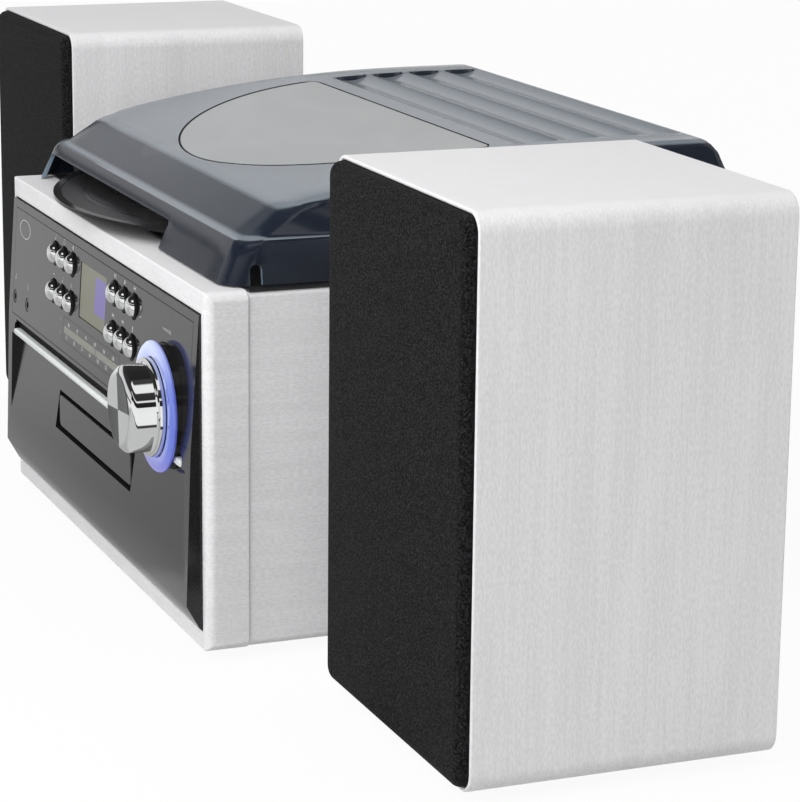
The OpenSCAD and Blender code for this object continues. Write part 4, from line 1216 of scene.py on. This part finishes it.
    def build(self) -> None:
        """Makes the cover, its window and its lugs."""
        half, length, back = self.window
        # The smoked cover's last colour is a painted reflection on its level top.
        clear = Acrylic("smoked_cover", (0.008, 0.012, 0.021), 0.82, 0.13, (0.207, 0.235, 0.265))
        # The cut edges of the notches and the slot are painted a pale blue, a painted highlight
        # along them.
        edge = Acrylic("cover_edge_highlight", (0.14, 0.19, 0.24), 0.94, 0.2)
        pale = Acrylic("pale_window", (0.31, 0.325, 0.325), 0.88, 0.16, flow=1.04, border=(
            (half - 3.0) * MM, (length - 1.2) * MM, UNIT.at(0, back, 0).y))
        gap = Moulded("gap_shadow", (0.003, 0.003, 0.004), (0.005, 0.005, 0.006), (0.8, 0.9),
                      specular=0.1)
        cover = self.shell("smoked_dust_cover", self.wall, clear)
        window = self.shell("pale_cover_window", self.window_wall, pale)
        Bench.cut(window, self.window_block(-0.45), "INTERSECT")
        Bench.cut(cover, Bench.dress(self.window_block(0.5), gap))
        for notch in (
            ("notch", (-156.0, 0.0, 170.0), (65.0, 31.0, 188.5), 0, 3.0, 5),
            ("side_notch", (-180.0, 73.0, 170.0), (-158.0, 207.0, 188.5), 1, 3.0, 5),
            ("slot", (160.0, 24.5, 170.0), (176.0, 30.5, 184.6), 1, 2.8, 6),
        ):
            Bench.cut(cover, Bench.dress(self.notch_block(*notch), edge))
        lugs = Bench.dress(self.lugs(), clear)
        for obj, slot, nodes in ((cover, "smoked_acrylic", ("dust_cover",)),
                                 (window, "pale_acrylic", ("cover_window",)),
                                 (lugs, "smoked_acrylic", ())):
            Bench.smooth(obj, 38.0)
            place_piece(obj, Body.COVER.value, slot, *nodes)


@dataclass
class Loudspeakers:
    """Cabinets and cloth-covered grilles of the two loudspeakers."""

    corner: float = 7.4
    edge: float = 4.6
    top: float = 0.251

    def grille(self, side: str) -> None:
        """Makes the grille of one side."""
        low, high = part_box(f"{side}_grille")
        made = Bench.block(f"{side}_cloth_grille", low, high)
        Bench.round_edges(made, along_y, self.corner, 10)
        Bench.round_front(made, low.y, self.edge, 7)
        Bench.smooth(made, 40.0)
        Bench.dress(made, Cloth("grille_weave"))
        place_piece(made, Body.MAIN.value, "grille_cloth", f"{side}_grille")

    def cabinet(self, side: str) -> None:
        """Makes the cabinet of one side."""
        made = Bench.softened(f"{side}_cabinet", f"{side}_vinyl_cabinet", 0.9, 3)
        Bench.dress(made, WoodVinyl("upright_grain", Axis.Z, self.top))
        place_piece(made, Body.MAIN.value, "white_vinyl", f"{side}_cabinet")

    def build(self) -> None:
        """Makes both loudspeakers."""
        for side in ("left", "right"):
            self.cabinet(side)
            self.grille(side)


@dataclass
class VolumeControl:
    """Chromed knob with its flange, in front of the lit ring and the boss."""

    x: float = 122.4
    z: float = 109.3
    face: float = -27.0
    grip: float = 21.4
    ring_face: float = -8.6

    def turned(self, name: str, profile: Sequence[tuple[float, float]], steps: int) -> Any:
        """Turns a profile round the knob's axis."""
        return Bench.turned(name, profile, UNIT.at(self.x, 0, self.z), Axis.Y, steps)

    def knob(self) -> None:
        """Turns the knob."""
        r, f = self.grip, self.face
        made = self.turned("chrome_knob", [
            (0, f), (r - 5.5, f), (r - 4.2, -27.15), (r - 3.2, -26.9), (r - 0.9, -24.9),
            (r - 0.3, -24.2), (r, -23.2), (r, -15.0), (r + 0.2, -14.2), (r + 0.9, -13.6),
            (23.4, -13.4), (24.0, -13.2), (24.2, -12.6), (24.2, -10.8), (24.0, -10.45),
            (23.6, -10.4), (0, -10.4)], 128)
        Bench.dress(made, Chrome("knob_chrome", 0.82))
        limit = UNIT.at(0, f + 0.06, 0).y
        Bench.dress_some(made, SpunFace("knob_face", tuple(UNIT.at(self.x, 0, self.z))),
                         lambda part: part.center.y < limit and part.normal.y < -0.9)
        Bench.smooth(made, 30.0)
        place_piece(made, Body.KNOB.value, "chrome")

    def shaft(self) -> None:
        """Turns the knob's shaft, which shows through the ring's bore."""
        made = self.turned("knob_shaft", [(0, -10.5), (3.0, -10.5), (3.0, 7.0), (2.6, 7.4),
                                          (0, 7.4)], 40)
        Bench.dress(made, Moulded("shaft_steel", grey(0.5), grey(0.6), (0.25, 0.35), metal=1.0))
        Bench.smooth(made, 32.0)
        place_piece(made, Body.KNOB.value, "chrome", "volume_knob")

    def ring(self) -> None:
        """Turns the lit ring."""
        made = self.turned("lit_ring", [
            (24.6, -7.4), (24.6, -9.6), (24.9, -10.1), (25.6, -10.3), (28.4, -10.3),
            (30.2, -10.1), (31.3, -9.6), (31.9, -8.8), (32.0, -8.0), (31.8, -7.4), (31.4, -7.2),
            (25.0, -7.2), (24.6, -7.4)], 128)
        Bench.dress(made, RingLight("ring_glow", tuple(UNIT.at(self.x, self.ring_face, self.z))))
        Bench.smooth(made, 40.0)
        place_piece(made, Body.MAIN.value, "ring_light", "light_ring")

    def build(self) -> None:
        """Makes the knob, its shaft and the ring."""
        self.knob()
        self.shaft()
        self.ring()


@dataclass
class PushButtons:
    """Twelve chromed domes, one modelled for each row and copied along it."""

    radius: float = 6.5
    dome_h: float = 3.2
    row: int = 3

    def dome(self, name: str, node: str) -> Any:
        """Turns one button.

        Args:
            name: the piece's name.
            node: the solid that it stands for.

        Returns:
            The button.
        """
        low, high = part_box(node)
        centre = Vector(((low.x + high.x) / 2, low.y, (low.z + high.z) / 2))
        profile = [(0, 0.02), (1.3, 0.1), (2.6, 0.42), (3.7, 0.98), (4.5, 1.7), (5.0, 2.5),
                   (5.2, 3.1), (5.4, 3.4), (6.1, 3.7), (self.radius, 4.1), (self.radius, 9.2),
                   (0, 9.2)]
        made = Bench.turned(name, profile, centre, Axis.Y, 48)
        Bench.dress(made, Chrome("button_chrome", 0.86))
        skirt = low.y + self.dome_h * MM
        # The sides behind each dome are painted near black, a painted shadow gap round the button.
        Bench.dress_some(made, Moulded("button_rim", grey(0.004), grey(0.008), specular=0.15),
                         lambda part: part.center.y > skirt)
        return Bench.smooth(made, 40.0)

    def build(self) -> None:
        """Makes every button."""
        first: dict[int, tuple[Any, Vector]] = {}
        for side in ("left", "right"):
            for n in range(6):
                node = f"{side}_button_{n + 1}"
                name, row = f"{node}_dome", n // self.row
                low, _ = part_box(node)
                if row in first:
                    source, start = first[row]
                    made = Bench.duplicate(source, name)
                    made.matrix_world = Matrix.Identity(4)
                    made.data.transform(Matrix.Translation(low - start))
                else:
                    made = self.dome(name, node)
                    first[row] = (made, low.copy())
                place_piece(made, node, "chrome", node)


class Mark(Enum):
    """Generic signs printed near the buttons, each a list of bars, hoops and triangles.

    Each shape has its kind, its place from the sign's middle and its sizes, in millimetres.
    """

    POWER = (("hoop", 0, 0, 1.3, 0.3), ("bar", 0, 1.1, 0.35, 1.5))
    NOTE = (("bar", 0.5, 0, 0.35, 2.8), ("bar", 1.0, 1.2, 1.1, 0.4), ("hoop", 0, -1.1, 0.7, 0.5))
    PLUS = (("bar", 0, 0, 2.2, 0.45), ("bar", 0, 0, 0.45, 2.2))
    MINUS = (("bar", 0, 0, 2.4, 0.5),)
    PLAY = (("triangle", -0.9, 0, 1.2, 0), ("bar", 0.9, 0, 0.45, 2.0), ("bar", 1.8, 0, 0.45, 2.0))
    STOP = (("bar", 0, 0, 1.9, 1.9),)
    NEXT = (("triangle", -1.1, 0, 1.1, 0), ("triangle", 0.5, 0, 1.1, 0),
            ("bar", 1.7, 0, 0.45, 1.9))
    LAST = (("triangle", 1.1, 0, 1.1, 180), ("triangle", -0.5, 0, 1.1, 180),
            ("bar", -1.7, 0, 0.45, 1.9))
    EJECT = (("triangle", 0, 0.4, 1.3, 90), ("bar", 0, -1.1, 2.3, 0.45))
    RING = (("hoop", 0, 0, 1.5, 0.3),)


@dataclass
class FrontPanel:
    """Fascia, window panel, screen, scale, trim strip, drawer front and the printed marks."""

    ridge_z: float = 97.0
    ridge_y: float = -5.5
    tilt: float = 3.9004
    ink: float = 0.05
    upper: float = 155.9
    lower: float = 135.6

    def plane(self, z: float) -> float:
        """Place of the window's face in y at a height."""
        return self.ridge_y + (z - self.ridge_z) * math.tan(math.radians(self.tilt))

    def lay(self, obj: Any, x: float, z: float) -> Any:
        """Lays a flat piece, drawn in x and y, on the window's face at a place."""
        for vertex in obj.data.vertices:
            up = z + vertex.co.y / MM
            y = self.plane(up) - 0.02 - vertex.co.z / MM
            vertex.co = UNIT.at(x + vertex.co.x / MM, y, up)
        obj.data.update()
        Bench.close_up(obj, 1e-8)
        return obj

    def bar(self, x: float, z: float, w: float, h: float) -> Any:
        """Makes a printed bar."""
        low, high = Vector((-w, -h, 0)) * MM / 2, Vector((w / 2, h / 2, self.ink)) * MM
        return self.lay(Bench.block("bar", low, high), x, z)

    def triangle(self, x: float, z: float, size: float, turn: float) -> Any:
        """Makes a printed triangle whose point is turned from +x by an angle in degrees."""
        Bench.clear()
        bpy.ops.mesh.primitive_cylinder_add(vertices=3, radius=size * MM, depth=self.ink * MM,
                                            location=(0, 0, self.ink * MM / 2))
        made = bpy.context.active_object
        made.rotation_euler = (0, 0, math.radians(turn - 90))
        return self.lay(Bench.settle(made), x, z)

    def hoop(self, x: float, z: float, radius: float, width: float, stretch: float = 1.0) -> Any:
        """Makes a printed ring, stretched along x where asked."""
        bore = radius - width
        profile = [(bore, 0), (radius, 0), (radius, self.ink), (bore, self.ink), (bore, 0)]
        made = Bench.turned("hoop", profile, Vector((0, 0, 0)), Axis.Z, 40)
        for vertex in made.data.vertices:
            vertex.co.x *= stretch
        return self.lay(made, x, z)

    def number(self, text: str, x: float, z: float, size: float) -> Any:
        """Makes a printed number, centred on its place."""
        Bench.clear()
        bpy.ops.object.text_add(location=(0, 0, 0))
        made = bpy.context.active_object
        made.data.body = text
        made.data.size = size * MM
        made.data.extrude = self.ink * MM / 2
        made.data.resolution_u = 3
        made.data.align_x, made.data.align_y = "CENTER", "CENTER"
        bpy.ops.object.convert(target="MESH")
        return self.lay(Bench.settle(bpy.context.active_object), x, z)

    def sign(self, mark: Mark, x: float, z: float) -> list[Any]:
        """Builds one generic sign at a place and returns its pieces."""
        return [getattr(self, kind)(x + dx, z + dz, *sizes) for kind, dx, dz, *sizes in mark.value]

    def prints(self) -> None:
        """Prints the signs, the scale's numbers and the bare badge outline."""
        made: list[Any] = []
        upper, lower = self.upper, self.lower
        for mark, x, z in (
            (Mark.POWER, -88.6, 146.0), (Mark.NOTE, -78.0, upper), (Mark.RING, -61.0, upper),
            (Mark.STOP, -44.0, upper), (Mark.MINUS, -78.0, lower), (Mark.NOTE, -61.0, lower),
            (Mark.PLUS, -44.0, lower), (Mark.PLAY, 34.0, upper), (Mark.STOP, 51.0, upper),
            (Mark.NEXT, 68.0, upper), (Mark.LAST, 34.0, lower), (Mark.NEXT, 51.0, lower),
            (Mark.EJECT, 68.0, lower), (Mark.PLUS, 79.5, 148.5), (Mark.MINUS, 79.5, 144.0),
            (Mark.NOTE, -156.0, 119.5), (Mark.RING, -130.0, 118.0),
        ):
            made += self.sign(mark, x, z)
        for texts, first, pitch, z in (((88, 92, 96, 100, 104, 108), -45.0, 16.5, 113.9),
                                       ((53, 60, 70, 80, 100, 120, 160), -48.0, 14.8, 106.6)):
            for n, text in enumerate(texts):
                made.append(self.number(str(text), first + pitch * n, z, 3.0))
        for x, z, text in ((-62.0, 114.2, "2"), (-62.0, 106.6, "1"), (56.5, 113.9, "1")):
            made.append(self.number(text, x, z, 2.6))
        made.append(self.hoop(-141.0, 148.6, 5.3, 0.45, 2.1))
        for n in range(9):
            made.append(self.bar(122.4 - 6 + 1.5 * n, 146.2, 0.5, 1.0 + 0.12 * n))
        printed = Bench.joined("printed_marks", made)
        Bench.dress(printed, Moulded("printed_ink", grey(0.42), (0.52, 0.52, 0.51), (0.45, 0.6)))
        place_piece(printed, Body.MAIN.value, "scale_print")

    def scale(self) -> None:
        """Draws the long bar of the tuner scale with its pointer."""
        plate = Bench.softened("tuner_scale", "tuner_scale_plate", 0.15, 2)
        Bench.dress(plate, Moulded("scale_plate", (0.011, 0.011, 0.012), (0.016, 0.016, 0.017),
                                   (0.07, 0.12)))
        place_piece(plate, Body.MAIN.value, "scale_print", "tuner_scale")
        strip = self.bar(-3.3, 110.3, 101.0, 3.8)
        Bench.modify(strip, "BEVEL", width=0.02 * MM, segments=1)
        Bench.dress(strip, Moulded("scale_window", (0.17, 0.17, 0.14), (0.21, 0.21, 0.18)))
        place_piece(strip, Body.MAIN.value, "scale_print")
        pointer = self.bar(6.0, 110.3, 0.7, 4.2)
        for vertex in pointer.data.vertices:
            vertex.co.y -= 0.06 * MM
        Bench.dress(pointer, Moulded("scale_pointer", grey(0.03), grey(0.05)))
        place_piece(pointer, Body.MAIN.value, "scale_print")

    def trim(self) -> None:
        """Shapes the silver strip, which tapers to a round point at each end."""
        low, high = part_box("trim_strip")
        taper, end_h, swell = 0.06, 0.46, 0.30
        made = Bench.block("silver_trim", low, high)
        Bench.round_edges(made, along_y, 3.2, 8)
        for vertex in made.data.vertices:
            reach = min(1.0, (high.x - abs(vertex.co.x)) / taper)
            shape = end_h + swell * math.sqrt(max(0.0, reach))
            vertex.co.z = low.z + (vertex.co.z - low.z) * shape
        Bench.round_front(made, low.y, 0.9, 4)
        Bench.smooth(made, 40.0)
        Bench.dress(made, Brushed("silver_paint", (0.80, 0.84, 0.82), 0.42, (12.0, 900.0, 900.0),
                                  0.2))
        place_piece(made, Body.MAIN.value, "silver_plastic", "trim_strip")

    @staticmethod
    def hollow_test() -> Callable[[Any], bool]:
        """Makes the test that finds the ends of the scoop and the walls of the slot, which get
        painted shade.
        """
        low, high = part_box("trim_strip")
        foot = UNIT.at(0, 0, 12).z

        def test(part: Any) -> bool:
            """Tells whether a face lies in one of the hollows."""
            x, y, z = part.center
            end = abs(part.normal.x) > 0.35 and low.x - 0.008 < x < high.x + 0.008
            slot = low.z - 0.0008 < z < high.z + 0.0028 and y > high.y - 1.2 * MM
            return end and foot < z < high.z + 0.003 or slot
        return test

    def build(self) -> None:
        """Makes the front panel."""
        gloss = Moulded("gloss_black_panel", (0.010, 0.010, 0.0105), (0.014, 0.014, 0.0145),
                        (0.05, 0.1), 400.0, 12.0, depth=0.000002)
        satin = Moulded("satin_black_fascia", (0.011, 0.011, 0.0115), (0.016, 0.016, 0.0165),
                        (0.1, 0.17), 700.0, 12.0, depth=0.000006)
        # The ends of the scoop and the walls of the slot are painted near black, painted shade in
        # the hollows.
        matt = Moulded("shaded_hollow", grey(0.005), grey(0.009), (0.6, 0.75), specular=0.08)
        for node, name, radius, finish, body in (
            ("fascia", "moulded_fascia", 0.45, satin, Body.MAIN),
            ("window_panel", "gloss_window_panel", 0.35, gloss, Body.MAIN),
            ("knob_boss", "moulded_boss", 0.6, gloss, Body.MAIN),
            ("cd_drawer_front", "gloss_drawer_front", 0.6, satin, Body.DRAWER),
        ):
            made = Bench.softened(node, name, radius, 3)
            Bench.dress(made, finish)
            if node == "fascia":
                Bench.dress_some(made, matt, self.hollow_test())
            place_piece(made, body.value, "gloss_black", node)
        low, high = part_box("display")
        screen = Bench.softened("display", "lit_screen", 0.3, 2)
        Bench.dress(screen, Screen("screen_glow", tuple(low), tuple(high)))
        place_piece(screen, Body.MAIN.value, "lit_display", "display")
        self.scale()
        self.trim()
        self.prints()


@dataclass
class MainUnit:
    """White surround, cabinet and deck of the main unit."""

    top: float = 0.179

    def build(self) -> None:
        """Makes the outer shells."""
        vinyl = WoodVinyl("level_grain", Axis.Y, self.top)
        for node, name, radius, segments, finish, slot in (
            ("front_frame", "vinyl_front_frame", 0.8, 3, vinyl, "white_vinyl"),
            ("cabinet", "vinyl_cabinet", 0.5, 3, vinyl, "white_vinyl"),
            ("deck_plate", "moulded_deck", 0.4, 2, DECK_BLACK, "deck_plastic"),
        ):
            made = Bench.dress(Bench.softened(node, name, radius, segments), finish)
            place_piece(made, Body.MAIN.value, slot, node)


@dataclass
class SolidDressing:
    """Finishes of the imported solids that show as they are, by material slot."""

    record_at: Point = (-28.0, 140.0, 183.0)

    def finishes(self) -> dict[str, Finish]:
        """Returns the finish of each slot."""
        return {
            "deck_plastic": DECK_BLACK,
            "rear_board": Moulded("back_board", (0.018, 0.018, 0.019), (0.035, 0.034, 0.033),
                                  (0.5, 0.65), 500.0),
            "rubber": Moulded("black_rubber", grey(0.012), grey(0.022), (0.6, 0.75), specular=0.3),
            "screw_steel": Moulded("plated_screw", (0.45, 0.44, 0.42), (0.6, 0.59, 0.56),
                                   (0.25, 0.4), metal=1.0),
            "black_plastic": Moulded("black_moulding", (0.013, 0.013, 0.014),
                                     (0.022, 0.022, 0.023), (0.3, 0.45)),
            "circuit_board": Board("green_board"),
            "plated_steel": Brushed("plated_sheet", (0.62, 0.61, 0.58), 0.35,
                                    (40.0, 600.0, 600.0)),
            "platter_metal": Brushed("turned_alloy", (0.70, 0.71, 0.72), 0.28,
                                     (500.0, 500.0, 40.0)),
            "vinyl_record": Grooved("pressed_record", tuple(UNIT.at(*self.record_at))),
            "bearing_brass": Brushed("turned_brass", (0.72, 0.52, 0.22), 0.3,
                                     (200.0, 200.0, 1500.0)),
            "driver_metal": Moulded("painted_basket", grey(0.02), grey(0.035), (0.4, 0.5)),
            "paper_cone": Moulded("pressed_paper", (0.018, 0.017, 0.016), (0.032, 0.030, 0.028),
                                  (0.75, 0.9), 1200.0),
        }

    def build(self) -> None:
        """Gives every shown solid the finish of its slot."""
        table = self.finishes()
        for name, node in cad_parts.items():
            if node.hide_render:
                continue
            for place in node.material_slots:
                key = place.material.name.split(".")[0] if place.material else ""
                if key in table:
                    place.material = table[key].material()
            LOG.info("dressed %s", name)


def main() -> None:
    """Builds the studio and every sub-assembly."""
    logging.basicConfig(level=logging.INFO, format="%(name)s: %(message)s")
    for part in (Studio(), MainUnit(), FrontPanel(), VolumeControl(), PushButtons(), DustCover(),
                 Loudspeakers(), SolidDressing()):
        part.build()
        LOG.info("built %s", type(part).__name__)


if __name__ == "__main__":
    main()
